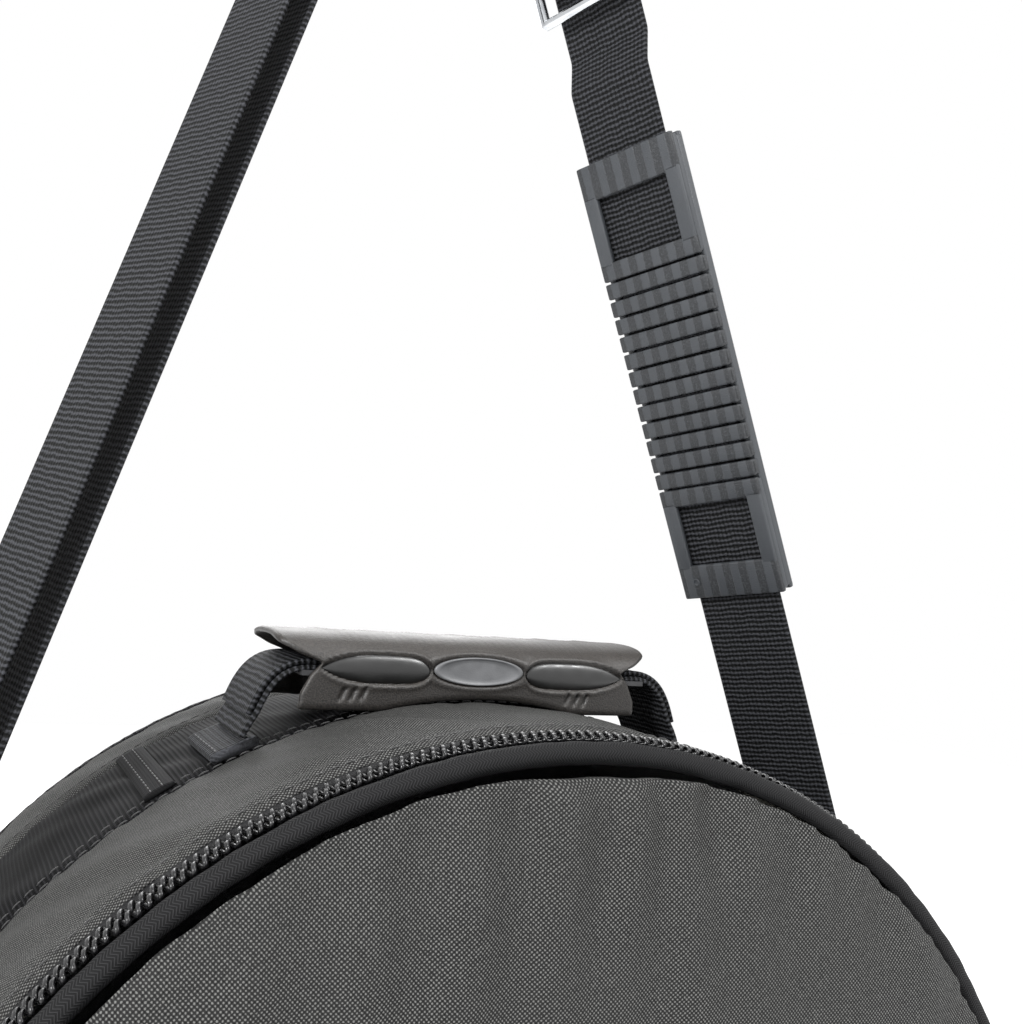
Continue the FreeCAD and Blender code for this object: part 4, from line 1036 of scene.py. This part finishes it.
# ---------------------------------------------------------------- carry handle
GRIP_END_OUTLINE = ((391.5, 71.0), (388.5, 69.0), (385.0, 63.5), (381.8, 56.5), (378.0, 60.0), (372.0, 63.0),
                    (364.0, 63.5))
GRIP_RIGHT_SHARE = 0.915   # the right half of the grip is this much shorter than the left
GRIP_OVER_BAG = 1.4   # the grip's lower edge hangs this far above the gusset
PODS = ((-38.5, 380.3, 18.5, 4.6, -1), (33.5, 380.0, 19.0, 4.6, 1))
SLOTS = ((-49.5, 372.2), (-46.0, 372.3), (-42.5, 372.5), (31.0, 372.5), (34.5, 372.3), (38.0, 372.2))


def oval_distance(x, z, cx, cz, half_length, half_height):
    """About how far outside (or inside, when negative) a lying ellipse a point is."""
    share = np.hypot((x - cx) / half_length, (z - cz) / half_height)
    return (share - 1) * half_height


def pod_distance(x, z, cx, cz, half_length, half_height, outwards):
    """The same for a pod: blunt towards the middle of the grip and pointed outwards."""
    run = np.clip((x - cx) / half_length * outwards, -1.3, 1.3)
    blunt = np.sqrt(np.maximum(1 - np.abs(np.minimum(run, 0)) ** 4.5, 0.0))
    pointed = np.maximum(1 - np.maximum(run, 0) ** 2.2, 0.0) ** 0.8
    height = np.where(run < 0, blunt, pointed) * half_height
    return np.where(np.abs(run) > 1, 1.5 + np.hypot((np.abs(run) - 1) * half_length, z - cz) * 0.6,
                    np.abs(z - cz) - height)


class MakeHandle(bpy.types.Operator):
    """Make the moulded grip, its oval plate and the webbing that joins it to the bag"""
    bl_idname = "skate_bag.handle"
    bl_label = "Carry handle"

    def execute(self, context):
        self.make_grip()
        self.make_badge()
        self.make_pods()
        self.make_webbing()
        finish_node("grip_keeper_plate", pressed_board())
        return {"FINISHED"}

    def profile(self, share, low_z):
        """Grip's outer section from the front lower edge, over the top, to the back lower edge."""
        half = GRIP_HIGH[1]
        shoulder = GRIP_HIGH[2] - 10.5
        top = GRIP_HIGH[2] - shoulder
        arc = np.linspace(math.pi, 0, 90)
        round_y = half * np.sign(np.cos(arc)) * np.abs(np.cos(arc)) ** 0.72
        round_z = shoulder + top * np.sin(arc) ** 0.8
        line = np.vstack([[(-half + 0.8, low_z), (-half, low_z + 1.5)], np.column_stack([round_y, round_z]),
                          [(half, low_z + 1.5), (half - 0.8, low_z)]])
        length = running_length(line)
        at = share * length[-1]
        return np.column_stack([np.interp(at, length, line[:, 0]), np.interp(at, length, line[:, 1])])

    def make_grip(self):
        columns = 210
        rows = 120
        share = np.linspace(0, 1, rows)
        across = np.linspace(-1, 1, columns)
        heights = np.array(GRIP_END_OUTLINE)[::-1]
        outer = np.zeros((columns, rows, 3))
        for i, t in enumerate(across):
            over_bag = ARCH_Z + math.sqrt(ARCH_R ** 2 - (71.0 * t) ** 2) + GRIP_OVER_BAG
            low_z = max(GRIP_LOW[2] - 1.0, over_bag)
            section = self.profile(share, low_z)
            front = ease(np.abs(section[:, 0]), 12.0, 20.0)
            end = np.interp(section[:, 1], heights[:, 0], heights[:, 1]) * front + 70.5 * (1 - front)
            end = end * (GRIP_RIGHT_SHARE if t > 0 else 1.0)
            outer[i] = np.column_stack([t * end, section])
        ahead = np.gradient(outer, axis=1)
        along = np.gradient(outer, axis=0)
        normal = unit(np.cross(ahead, along))
        if normal[columns // 2, rows // 2, 2] < 0:
            normal = -normal
        x, y, z = outer[..., 0], outer[..., 1], outer[..., 2]
        front = ease(-y, 15.0, 20.0)
        relief = np.zeros(x.shape)
        for pod in PODS:
            gap = pod_distance(x, z, *pod)
            relief += front * (-1.3 * (1 - ease(gap, -0.2, 0.5)) + 0.35 * np.exp(-((gap - 1.3) / 0.7) ** 2))
        badge_x, badge_z = (BADGE_LOW[0] + BADGE_HIGH[0]) / 2, (BADGE_LOW[2] + BADGE_HIGH[2]) / 2
        gap = oval_distance(x, z, badge_x, badge_z, BADGE_HIGH[0] - badge_x, BADGE_HIGH[2] - badge_z)
        relief += front * (-1.0 * (1 - ease(gap, -0.3, 0.3)) + 0.35 * np.exp(-((gap - 1.0) / 0.7) ** 2))
        for cx, cz in SLOTS:
            lean = (x - cx - 0.35 * (z - cz)) / 0.75
            relief -= 1.1 * front * np.exp(-lean ** 4) * (1 - ease(np.abs(z - cz), 1.6, 2.4))
        middle = 1 - ease(np.abs(x), 52.0, 62.0)
        relief += middle * ease(y, 4.0, 16.0) * 0.7 * np.cos(2 * math.pi * x / 17.0)
        relief += 0.06 * middle * (1 - front) * np.cos(2 * math.pi * x / 5.6) ** 8
        outer += normal * relief[..., None]
        inner = outer - normal * (2.1 + np.minimum(relief, 0))[..., None]
        tips = ease(np.abs(across), 0.985, 1.0)[:, None, None]
        outer = outer - normal * 0.7 * tips
        inner = inner + normal * 0.5 * tips
        loop = np.concatenate([outer, inner[:, ::-1]], axis=1)
        u = np.linspace(-71, 71, columns)
        v = np.concatenate([share * 90, 90 + share * 90, [180]])
        faces, uvs = grid_faces(columns, 2 * rows, u, v, False, True)
        for end in (0, columns - 1):
            for j in range(rows - 1):
                a, b = end * 2 * rows + j, end * 2 * rows + 2 * rows - 1 - j
                faces.append((a, a + 1, b - 1, b))
                uvs += [(u[end], v[j])] * 4
        new_piece("grip_shell", loop.reshape(-1, 3), faces, uvs, grained_polypropylene(), "handle",
                  ["grip_body"])

    def make_badge(self):
        """A smooth oval plate with a rounded rim, lying just proud of the grip's front."""
        cx, cz = (BADGE_LOW[0] + BADGE_HIGH[0]) / 2, (BADGE_LOW[2] + BADGE_HIGH[2]) / 2
        half_height = BADGE_HIGH[2] - cz - 0.35
        flat = (BADGE_HIGH[0] - cx) - (BADGE_HIGH[2] - cz)
        turn = np.linspace(0, 2 * math.pi, 72, endpoint=False)
        rim = np.column_stack([np.cos(turn) * (half_height + flat), np.sin(turn) * half_height])
        face = BADGE_LOW[1]
        steps = ((0.99, 1.1), (1.0, 0.2), (0.98, -0.15), (0.93, -0.28), (0.88, -0.12), (0.84, 0.12),
                 (0.6, 0.14),
                 (0.3, 0.1))
        layers = [np.column_stack([cx + rim[:, 0] * s, np.full(72, face + lift), cz + rim[:, 1] * s])
                  for s, lift in steps]
        points = np.array(layers).reshape(-1, 3)
        faces = [(i * 72 + j, (i + 1) * 72 + j, (i + 1) * 72 + (j + 1) % 72, i * 72 + (j + 1) % 72)
                 for i in range(len(steps) - 1) for j in range(72)]
        faces += [tuple(range(72)), tuple(range((len(steps) - 1) * 72, len(steps) * 72))]
        uvs = [points[corner][[0, 2]] for f in faces for corner in f]
        new_piece("grip_oval_plate", points, faces, uvs, satin_badge_plastic(), "handle", ["grip_badge"])

    def make_pods(self):
        """The two polished pods, each bulging out of its recess in the grip's front."""
        face = GRIP_LOW[1]
        for label, (cx, cz, half_length, half_height, outwards) in zip(("left", "right"), PODS):
            columns = 64
            run = np.linspace(-0.985, 0.985, columns)
            height = np.where(run < 0, np.sqrt(1 - np.abs(np.minimum(run, 0)) ** 4.5),
                              (1 - np.maximum(run, 0) ** 2.2) ** 0.8) * half_height - 0.15
            turn = np.linspace(0, 2 * math.pi, 28, endpoint=False)
            lean = np.interp(np.sin(turn), (-1, 1), (0.0, 0.55))
            points = np.array([[(cx + outwards * r * half_length, face + 0.9 + lean[k]
                                 - 1.3 * max(math.cos(a), -0.6) *
                                 math.sqrt(max(h, 0.1) / half_height), cz + h * math.sin(a))
                                for k, a in enumerate(turn)] for r, h in zip(run, height)])
            u = running_length(points[:, 0])
            v = running_length(points[columns // 2], True)
            faces, uvs = grid_faces(columns, 28, u, v, False, True)
            for end in (0, columns - 1):
                faces.append(tuple(end * 28 + j for j in range(28)))
                uvs += [(u[end], v[j]) for j in range(28)]
            new_piece("grip_pod_" + label, points.reshape(-1, 3), faces, uvs, polished_pod_plastic(),
                      "handle")

    def make_webbing(self):
        """Each end: webbing doubled back on itself, bulging out of the grip and down to its sewn pad."""
        web_z = GRIP_HIGH[2] - 10.0
        root = 80.0
        foot_z = ARCH_Z + (ARCH_R + 5.1) * math.cos(math.asin(root / ARCH_R)) + WEB_THICK / 2
        shape = ((54.0, web_z - 1.6), (60.0, web_z - 1.0), (65.5, web_z - 2.0), (70.0, web_z - 5.2),
                 (73.2, web_z - 10.5), (75.6, web_z - 17.0), (77.6, foot_z + 4.5), (79.2, foot_z + 0.4))
        for label, side in (("left", -1), ("right", 1)):
            for layer, inset in (("outer", 0.0), ("inner", 2.0)):
                line = np.array([(side * x, 0.0, z) for x, z in shape[:-2 if inset else None]])
                line = resampled(line, 1.5, 2.2)
                ahead = unit(np.gradient(line, axis=0))
                out = np.cross(ahead, np.tile((0.0, 1.0, 0.0), (len(line), 1))) * -side
                line = line - out * inset
                width = (WEB_WIDTH - (1.4 if inset else 0.0))
                piece = swept("handle_webbing_%s_%s" % (label, layer), line,
                              np.tile((0.0, 1.0, 0.0), (len(line), 1)), out,
                              webbing_section(width, WEB_THICK), heavy_webbing(), None)
                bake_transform(piece)
                if layer == "outer" and side < 0:
                    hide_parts("handle_webbing")
            self.make_anchor(label, side)

    def make_anchor(self, label, side):
        """The folded pad of webbing that the handle's end is sewn to."""
        low, high = span("handle_anchor_" + label)
        turn = math.asin(80.0 / ARCH_R)
        normal = np.array([side * math.sin(turn), 0.0, math.cos(turn)])
        along = np.array([math.cos(turn), 0.0, -side * math.sin(turn)])
        middle = np.array([0, 0, ARCH_Z]) + normal * (ARCH_R + 2.4)
        y = np.linspace(low[1], high[1], 24)
        centre = middle + np.column_stack([np.zeros(24), y, np.zeros(24)])
        fold = [(8.0, 0.0), (7.4, 1.2), (5.5, 1.7), (0.0, 1.6), (-5.5, 1.7), (-7.4, 1.2), (-8.0, 0.0),
                (-7.2, -1.4), (0.0, -1.7), (7.2, -1.4)]
        swept("handle_anchor_pad_" + label, centre, np.tile(along, (24, 1)), np.tile(normal, (24, 1)), fold,
              heavy_webbing(), "bag", ["handle_anchor_" + label])
        for i, offset in enumerate((-5.2, 5.2)):
            stitches("anchor_stitching_%s_%d" % (label, i + 1), centre + along * offset + normal * 1.75,
                     np.tile(normal, (24, 1)), "bag")


# ---------------------------------------------------------------- shoulder strap
RING_Y = sum(v[1] for v in span("d_ring_left")) / 2
HOOK_Z = 205.0
HOOK_X = {1: 205.2, -1: -199.0}
APEX = (-26.2, 789.9)
APEX_R = 34.0
STRAP_TWIST = 20.0
TWIST_START = 62.0
TWIST_LENGTH = 50.0
OUTER_OUT = 5.3
INNER_OUT = -3.2
EYE_BAR_P = 46.0
EYE_BAR_R = 2.0
FOLD_R = EYE_BAR_R + 0.2 + WEB_THICK / 2
ADJUSTER_Z = 646.0
ADJUSTER_R = 1.8
SEWN_END = 42.0
PAD_MIDDLE_Z = 497.0
PAD_SIZE = (8.0, 47.0, 180.0)
PAD_SLOT = WEB_THICK / 2 + 0.7
PAD_SLOT_HALF = WEB_WIDTH / 2 + 1.4
PAD_RAIL = 6.5
PAD_CROSS_BAR = 7.5
PAD_WINDOW = 25.0
PAD_END_BAR = 14.0
PAD_SLATS = 12
MARK_PITCH = 7.6


def strand(side):
    """Bearing point and upward direction of one straight run of the strap."""
    start = np.array([HOOK_X[side], RING_Y, HOOK_Z])
    return start, unit(np.array([APEX[0], RING_Y, APEX[1]]) - start)


def turned(outward, twist):
    """The strap's outward direction and the direction across it, turned by twist degrees."""
    turn = math.radians(twist)
    square = np.array([0.0, 1.0, 0.0])
    across = outward * math.cos(turn) + square * math.sin(turn)
    return across, outward * math.sin(turn) - square * math.cos(turn)


def along(side, distance, out):
    """One station on a run: where it is, and the direction across the strap."""
    start, up = strand(side)
    outward = np.array([up[2], 0.0, -up[0]]) * side
    share = min(max((distance - TWIST_START) / TWIST_LENGTH, 0.0), 1.0)
    face, across = turned(outward, side * STRAP_TWIST * share)
    return np.concatenate([start + up * distance + face * out, across])


def round_bar(side, distance, radius, start_deg, end_deg):
    """Stations of webbing folded round a bar, where 0 degrees is its outer side and 90 is up."""
    return [along(side, distance + radius * math.sin(a), radius * math.cos(a))
            for a in np.radians(np.linspace(start_deg, end_deg, 13))]


def run_length(side, z):
    start, up = strand(side)
    return (z - start[2]) / up[2]


def apex_bend(offset):
    """Stations over the top of the strap, from the right run to the left."""
    lean_right = math.degrees(math.atan2(-strand(1)[1][0], strand(1)[1][2]))
    lean_left = math.degrees(math.atan2(strand(-1)[1][0], strand(-1)[1][2]))
    sweep_deg = 180.0 - lean_left - lean_right
    middle = math.radians(lean_right + sweep_deg / 2)
    drop = APEX_R / math.cos(math.radians(sweep_deg / 2))
    centre = np.array([APEX[0] - drop * math.cos(middle), RING_Y, APEX[1] - drop * math.sin(middle)])
    stations = []
    for share in np.linspace(0, 1, 25):
        a = math.radians(lean_right + sweep_deg * share)
        outward = np.array([math.cos(a), 0.0, math.sin(a)])
        face, across = turned(outward, STRAP_TWIST * (1 - 2 * share))
        stations.append(np.concatenate([centre + outward * APEX_R + face * offset, across]))
    return stations


def ribbon(name, stations, body, nodes, edge_rows=True):
    """Flat webbing through stations, with a thicker woven selvedge at each edge."""
    line = resampled(stations, 1.2, 0.9)
    centre = line[:, :3]
    ahead = unit(np.gradient(centre, axis=0))
    across = line[:, 3:]
    across = unit(across - ahead * np.sum(across * ahead, axis=1, keepdims=True))
    out = np.cross(ahead, across)
    swept(name, centre, across, out, webbing_section(WEB_WIDTH, WEB_THICK), heavy_webbing(), body, nodes)
    return centre, across, out


class MakeStrap(bpy.types.Operator):
    """Make the long webbing, its sewn end and its box stitching, all on the line the hardware fixes"""
    bl_idname = "skate_bag.strap"
    bl_label = "Shoulder strap"

    def execute(self, context):
        adjust = run_length(1, ADJUSTER_Z)
        doubled = -WEB_THICK - 0.05
        path = [along(1, EYE_BAR_P + 40.0, doubled), along(1, EYE_BAR_P + 10.0, doubled)]
        path += round_bar(1, EYE_BAR_P, FOLD_R, 180, 360)
        path += [along(1, EYE_BAR_P + 10.0, 0.0), along(1, TWIST_START, 0.0),
                 along(1, TWIST_START + TWIST_LENGTH, 0.0), along(1, adjust - 42.0, 0.0),
                 along(1, adjust - 30.0, OUTER_OUT)]
        path += apex_bend(OUTER_OUT)
        path += [along(-1, TWIST_START + TWIST_LENGTH, OUTER_OUT), along(-1, TWIST_START, OUTER_OUT)]
        path += round_bar(-1, EYE_BAR_P, FOLD_R, 0, -180)
        path += [along(-1, TWIST_START, INNER_OUT), along(-1, TWIST_START + TWIST_LENGTH, INNER_OUT)]
        path += apex_bend(INNER_OUT)[::-1]
        path += [along(1, adjust + SEWN_END + 15.0, INNER_OUT)]
        ribbon("strap_long_webbing", path, "strap", ["strap_webbing"])
        bend = ADJUSTER_R + 0.2 + WEB_THICK / 2
        under = INNER_OUT - WEB_THICK - 0.05
        end = [along(1, adjust + SEWN_END, INNER_OUT), along(1, adjust + 9.0, INNER_OUT)]
        end += round_bar(1, adjust, bend, 50, -180)
        end += [along(1, adjust + 9.0, under), along(1, adjust + SEWN_END - 12.0, under)]
        ribbon("strap_folded_end", end, "adjuster", ["strap_sewn_end"])
        self.box_stitch("sewn_end_stitching", 1, adjust + 12.0, adjust + 28.0, under - 0.95, "adjuster")
        self.box_stitch("right_end_stitching", 1, EYE_BAR_P + 12.0, EYE_BAR_P + 36.0, 0.95, "strap")
        for label in ("left", "right"):
            for node in ("snap_hook_", "hook_gate_", "gate_pin_", "gate_spring_", "swivel_eye_"):
                finish_node(node + label, chromed_steel())
        finish_node("strap_adjuster", chromed_steel())
        return {"FINISHED"}

    def box_stitch(self, name, side, low, high, out, body):
        """A sewn box with its two diagonals, on one face of the strap."""
        half = WEB_WIDTH / 2 - 4.0
        corners = [(-half, low), (half, low), (half, high), (-half, high), (-half, low), (half, high),
                   (half, low), (-half, high)]
        for i, (start, end) in enumerate(zip(corners, corners[1:])):
            if i == 5:
                continue
            line = []
            normals = []
            for share in np.linspace(0, 1, 16):
                offset = start[0] + (end[0] - start[0]) * share
                station = along(side, start[1] + (end[1] - start[1]) * share, out)
                base = along(side, start[1] + (end[1] - start[1]) * share, 0.0)
                line.append(station[:3] + station[3:] * offset)
                normals.append(unit(station[:3] - base[:3]))
            stitches("%s_%d" % (name, i + 1), np.array(line), np.array(normals), body)


class MakePad(bpy.types.Operator):
    """Make the moulded shoulder pad: a sleeve with end bars, two windows and a row of slats"""
    bl_idname = "skate_bag.pad"
    bl_label = "Shoulder pad"

    def execute(self, context):
        thick, width, length = PAD_SIZE
        half_w = width / 2
        half_l = length / 2
        skin = thick / 2 - PAD_SLOT
        inner_x = -(PAD_SLOT + skin / 2)
        wall = half_w - PAD_SLOT_HALF
        field = half_l - PAD_END_BAR - PAD_WINDOW - PAD_CROSS_BAR
        pitch = 2 * field / PAD_SLATS
        plain = [((skin, width, length), (-inner_x, 0, 0), 1.0)]
        marked = []
        for side in (-1, 1):
            plain.append(((thick / 2 - 0.3, wall, length - 3),
                          (thick / 4 - 0.6, side * (half_w - wall / 2), 0), 0.9))
            window_z = side * (half_l - PAD_END_BAR - PAD_WINDOW / 2)
            for edge in (-1, 1):
                plain.append(((skin, PAD_RAIL, PAD_WINDOW + 4),
                              (inner_x, edge * (half_w - PAD_RAIL / 2), window_z), 0.8))
                plain.append(((thick / 2, wall, PAD_WINDOW + PAD_END_BAR + PAD_CROSS_BAR - 2),
                              (-thick / 4 + 0.3, edge * (half_w - wall / 2),
                               side * (half_l - (PAD_WINDOW + PAD_END_BAR + PAD_CROSS_BAR) / 2)), 0.9))
            marked.append(((skin, width, PAD_END_BAR), (inner_x, 0, side * (half_l - PAD_END_BAR / 2)), 0.9))
            bar_z = side * (field + PAD_CROSS_BAR / 2 + 0.2)
            marked.append(((skin, width, PAD_CROSS_BAR - 0.4), (inner_x, 0, bar_z), 0.7))
        for i in range(PAD_SLATS):
            z = -field + (i + 0.5) * pitch
            marked.append(((skin, width, pitch - 1.0), (inner_x, 0, z), 0.7))
            for side in (-1, 1):
                marked.append(((thick / 2, wall, pitch - 1.3),
                               (-thick / 4 + 0.2, side * (half_w - wall / 2), z), 0.8))
        for name, boxes, scuffed, nodes in (("pad_sleeve", plain, False, ["shoulder_pad"]),
                                            ("pad_bars_and_slats", marked, True, ())):
            self.make_boxes(name, boxes, moulded_rubber(scuffed), nodes)
        self.make_mould_mark(inner_x - skin / 2, half_l)
        return {"FINISHED"}

    def place(self, points):
        """Carry points from the pad's own frame to its place on the strap."""
        start, up = strand(1)
        outward = np.array([up[2], 0.0, -up[0]])
        face, across = turned(outward, STRAP_TWIST)
        middle = start + up * run_length(1, PAD_MIDDLE_Z)
        return middle + points[:, :1] * face - points[:, 1:2] * across + points[:, 2:] * up

    def make_boxes(self, name, boxes, material, nodes):
        verts = []
        faces = []
        uvs = []
        total = 0
        for size, centre, radius in boxes:
            box, box_faces = rounded_box(size, radius)
            box = box + np.array(centre)
            verts.append(box)
            for face in box_faces:
                faces.append(tuple(total + i for i in face))
                uvs += [(box[i][2], box[i][1]) for i in face]
            total += len(box)
        new_piece(name, self.place(np.vstack(verts)), faces, uvs, material, "pad", nodes)

    def make_mould_mark(self, face_x, half_l):
        """The small round witness of a mould pin on the lower end bar."""
        turn = np.linspace(0, 2 * math.pi, 24, endpoint=False)
        steps = ((1.6, 0.3), (1.6, -0.1), (1.3, -0.35), (1.0, -0.1), (0.6, -0.05))
        points = [(face_x + lift, 16.0 + radius * math.cos(a), -half_l + 7.0 + radius * math.sin(a))
                  for radius, lift in steps for a in turn]
        faces = [(i * 24 + j, (i + 1) * 24 + j, (i + 1) * 24 + (j + 1) % 24, i * 24 + (j + 1) % 24)
                 for i in range(len(steps) - 1) for j in range(24)]
        faces += [tuple(range(24)), tuple(range(96, 120))]
        uvs = [(points[c][2], points[c][1]) for f in faces for c in f]
        new_piece("pad_mould_mark", self.place(np.array(points)), faces, uvs, moulded_rubber(), "pad")


class MakeRings(bpy.types.Operator):
    """Make the webbing tabs sewn to the sides, and finish the rings they hold"""
    bl_idname = "skate_bag.rings"
    bl_label = "D-rings and tabs"

    def execute(self, context):
        for label, side in (("left", -1), ("right", 1)):
            low, high = span("ring_tab_" + label)
            ring_low, ring_high = span("d_ring_" + label)
            bar_x, bar_z, wire = 196.0, 182.0, 2.0
            wall = ARCH_R + 0.05 + WEB_THICK / 2
            loop = wire + 0.2 + WEB_THICK / 2
            outer = [(wall + WEB_THICK + 0.1, low[2]), (wall + WEB_THICK + 0.1, bar_z - 30.0)]
            bend = [(bar_x + loop * math.cos(a), bar_z + loop * math.sin(a))
                    for a in np.linspace(0, math.pi, 15)]
            inner = [(wall + 1.0, bar_z - 26.0), (wall + 1.0, low[2])]
            across = (0.0, -1.0, 0.0)
            stations = [(side * x, RING_Y, z, *across) for x, z in outer + bend + inner]
            ribbon("ring_tab_webbing_" + label, stations, "bag", ["ring_tab_" + label])
            finish_node("d_ring_" + label, chromed_steel())
            self.make_stitching(label, side, low[2], wall + WEB_THICK + 0.1 + WEB_THICK / 2)
        return {"FINISHED"}

    def make_stitching(self, label, side, low_z, x):
        half = WEB_WIDTH / 2 - 4.0
        top = low_z + 26.0
        bottom = low_z + 4.0
        lines = (((-half, bottom), (half, bottom)), ((half, bottom), (half, top)),
                 ((half, top), (-half, top)),
                 ((-half, top), (-half, bottom)), ((-half, bottom), (half, top)),
                 ((half, bottom), (-half, top)))
        for i, (start, end) in enumerate(lines):
            line = np.array([(side * (x + 0.1), RING_Y + start[0] + (end[0] - start[0]) * share,
                              start[1] + (end[1] - start[1]) * share) for share in np.linspace(0, 1, 12)])
            stitches("tab_stitching_%s_%d" % (label, i + 1), line,
                     np.tile((float(side), 0.0, 0.0), (12, 1)), "bag")


# ---------------------------------------------------------------- inside
class MakeLinings(bpy.types.Operator):
    """Make the three linings, and finish the foam and the board that they cover"""
    bl_idname = "skate_bag.linings"
    bl_label = "Linings"

    def execute(self, context):
        low, high = span("gusset_lining")
        inset = ARCH_R - high[0]
        top, top_normal, s = outline_path(BASE_CORNER_R, 5.0, inset)
        foot, foot_normal, s = base_path(5.0, BASE_CORNER_R + 0.01, inset)
        flat = np.vstack([top, foot[::-1][2:-2]])
        normal = np.vstack([top_normal, foot_normal[::-1][2:-2]])
        s = running_length(flat)
        y = np.linspace(low[1], high[1], 36)
        sections = []
        for at in s:
            slack = 0.3 * (1 + ripple(at + 0.6 * y, 101, 25, 110, 4))
            outer = np.column_stack([y, np.zeros(len(y))])
            inner = np.column_stack([y[::-1], -0.8 - slack[::-1]])
            sections.append(np.vstack([outer, inner]))
        swept("lining_gusset", lifted(flat), across_for(flat), lifted(normal), np.array(sections),
              plain_lining(), "bag", ["gusset_lining"], ring=True)
        for node, seed, body, swell in (("back_lining", 103, "bag", -1), ("front_lining", 105, "flap", 1)):
            self.make_sheet(node, seed, body, swell)
        for node in ("gusset_foam", "base_foam", "back_foam"):
            finish_node(node, open_foam())
        finish_node("base_board", pressed_board())
        return {"FINISHED"}

    def make_sheet(self, node, seed, body, swell):
        """A lining panel, slack between its seams, on its visible side."""
        low, high = span(node)
        inset = ARCH_R - high[0]
        edge = panel_edge(inset, low[2], 6.0)

        def loose(x, z):
            distance, run = edge_distance(x, z, inset, low[2])
            return swell * 0.5 * (1 + ripple(run + distance, seed, 30, 120, 4)) * ease(distance, 0, 25)

        def front(x, z):
            return np.full(len(x), low[1]) + (loose(x, z) if swell < 0 else 0)

        def back(x, z):
            return np.full(len(x), high[1]) + (loose(x, z) if swell > 0 else 0)

        lens("lining_" + node.split("_")[0], edge, front, back, plain_lining(), body, [node], rings=18)


# ---------------------------------------------------------------- stage
CAMERA_AT = (-164.57, -377.03, 412.32)
CAMERA_TOWARDS = (14.99, -0.15, 436.11)
CAMERA_ROLL = 0.07494
CAMERA_LENS = 41.03


# Each light: its name, place, size and power.
LIGHTS = (("key_light", (-1500, -900, 1300), 450, 36.0),
          ("right_light", (750, -950, 1500), 320, 14.0),
          ("top_light", (100, 0, 1900), 500, 10.0),
          ("back_light", (300, 1500, 900), 900, 8.0))
LIGHTS_AIM = (0, 0, 330)


class MakeStage(bpy.types.Operator):
    """Set the pale floor, the soft lights and the camera"""
    bl_idname = "skate_bag.stage"
    bl_label = "Floor, lights and camera"

    def execute(self, context):
        scene = context.scene
        points = [(x, y, -0.3) for x in (-2500, 2500) for y in (-2500, 2500)]
        floor = new_piece("floor", points, [(0, 2, 3, 1)], [(0, 0), (1, 0), (1, 1), (0, 1)], floor_paper(),
                          None,
                          closed=False)
        for name, place, size, power in LIGHTS:
            lamp = bpy.data.lights.new(name, "AREA")
            lamp.size = size * MM
            lamp.energy = power
            thing = bpy.data.objects.new(name, lamp)
            scene.collection.objects.link(thing)
            thing.location = Vector(place) * MM
            towards = Vector(LIGHTS_AIM) * MM - thing.location
            thing.rotation_euler = towards.to_track_quat("-Z", "Y").to_euler()
        world = bpy.data.worlds.new("studio")
        world.use_nodes = True
        world.node_tree.nodes["Background"].inputs[0].default_value = linear("#ffffff")
        world.node_tree.nodes["Background"].inputs[1].default_value = 1.0
        scene.world = world
        scene.view_settings.view_transform = "Standard"
        self.make_camera(scene)
        return {"FINISHED"}

    def make_camera(self, scene):
        data = bpy.data.cameras.new("camera")
        data.lens = CAMERA_LENS
        data.sensor_width = 36.0
        data.sensor_fit = "HORIZONTAL"
        data.clip_start = 0.01
        camera = bpy.data.objects.new("camera", data)
        scene.collection.objects.link(camera)
        ahead = (Vector(CAMERA_TOWARDS) - Vector(CAMERA_AT)).normalized()
        right = ahead.cross(Vector((0, 0, 1))).normalized()
        above = right.cross(ahead)
        leaned_right = right * math.cos(CAMERA_ROLL) + above * math.sin(CAMERA_ROLL)
        leaned_above = above * math.cos(CAMERA_ROLL) - right * math.sin(CAMERA_ROLL)
        turn = Matrix((leaned_right, leaned_above, -ahead)).transposed()
        camera.matrix_world = Matrix.Translation(Vector(CAMERA_AT) * MM) @ turn.to_4x4()
        scene.camera = camera


# ---------------------------------------------------------------- panel and running order
OPERATORS = (MakeGusset, MakeBase, MakeBack, MakeFlap, MakeZip, MakeHandle, MakeStrap, MakePad, MakeRings,
             MakeLinings, MakeStage)


class SkateBagPanel(bpy.types.Panel):
    """Lists the bag's pieces in the order they are made"""
    bl_idname = "VIEW3D_PT_skate_bag"
    bl_label = "Skate bag"
    bl_space_type = "VIEW_3D"
    bl_region_type = "UI"
    bl_category = "Skate bag"

    def draw(self, context):
        for operator in OPERATORS:
            self.layout.operator(operator.bl_idname)
        for group in (context.scene.skate_bag_sizes, context.scene.skate_bag_finishes):
            for name in group.__annotations__:
                self.layout.prop(group, name)


CLASSES = (SkateBagFinishes, SkateBagSizes, *OPERATORS, SkateBagPanel)


def register():
    for cls in CLASSES:
        bpy.utils.register_class(cls)
    bpy.types.Scene.skate_bag_finishes = bpy.props.PointerProperty(type=SkateBagFinishes)
    bpy.types.Scene.skate_bag_sizes = bpy.props.PointerProperty(type=SkateBagSizes)


def unregister():
    del bpy.types.Scene.skate_bag_sizes
    del bpy.types.Scene.skate_bag_finishes
    for cls in reversed(CLASSES):
        bpy.utils.unregister_class(cls)


def main():
    register()
    for operator in OPERATORS:
        group, name = operator.bl_idname.split(".")
        getattr(getattr(bpy.ops, group), name)()


if __name__ == "__main__":
    main()
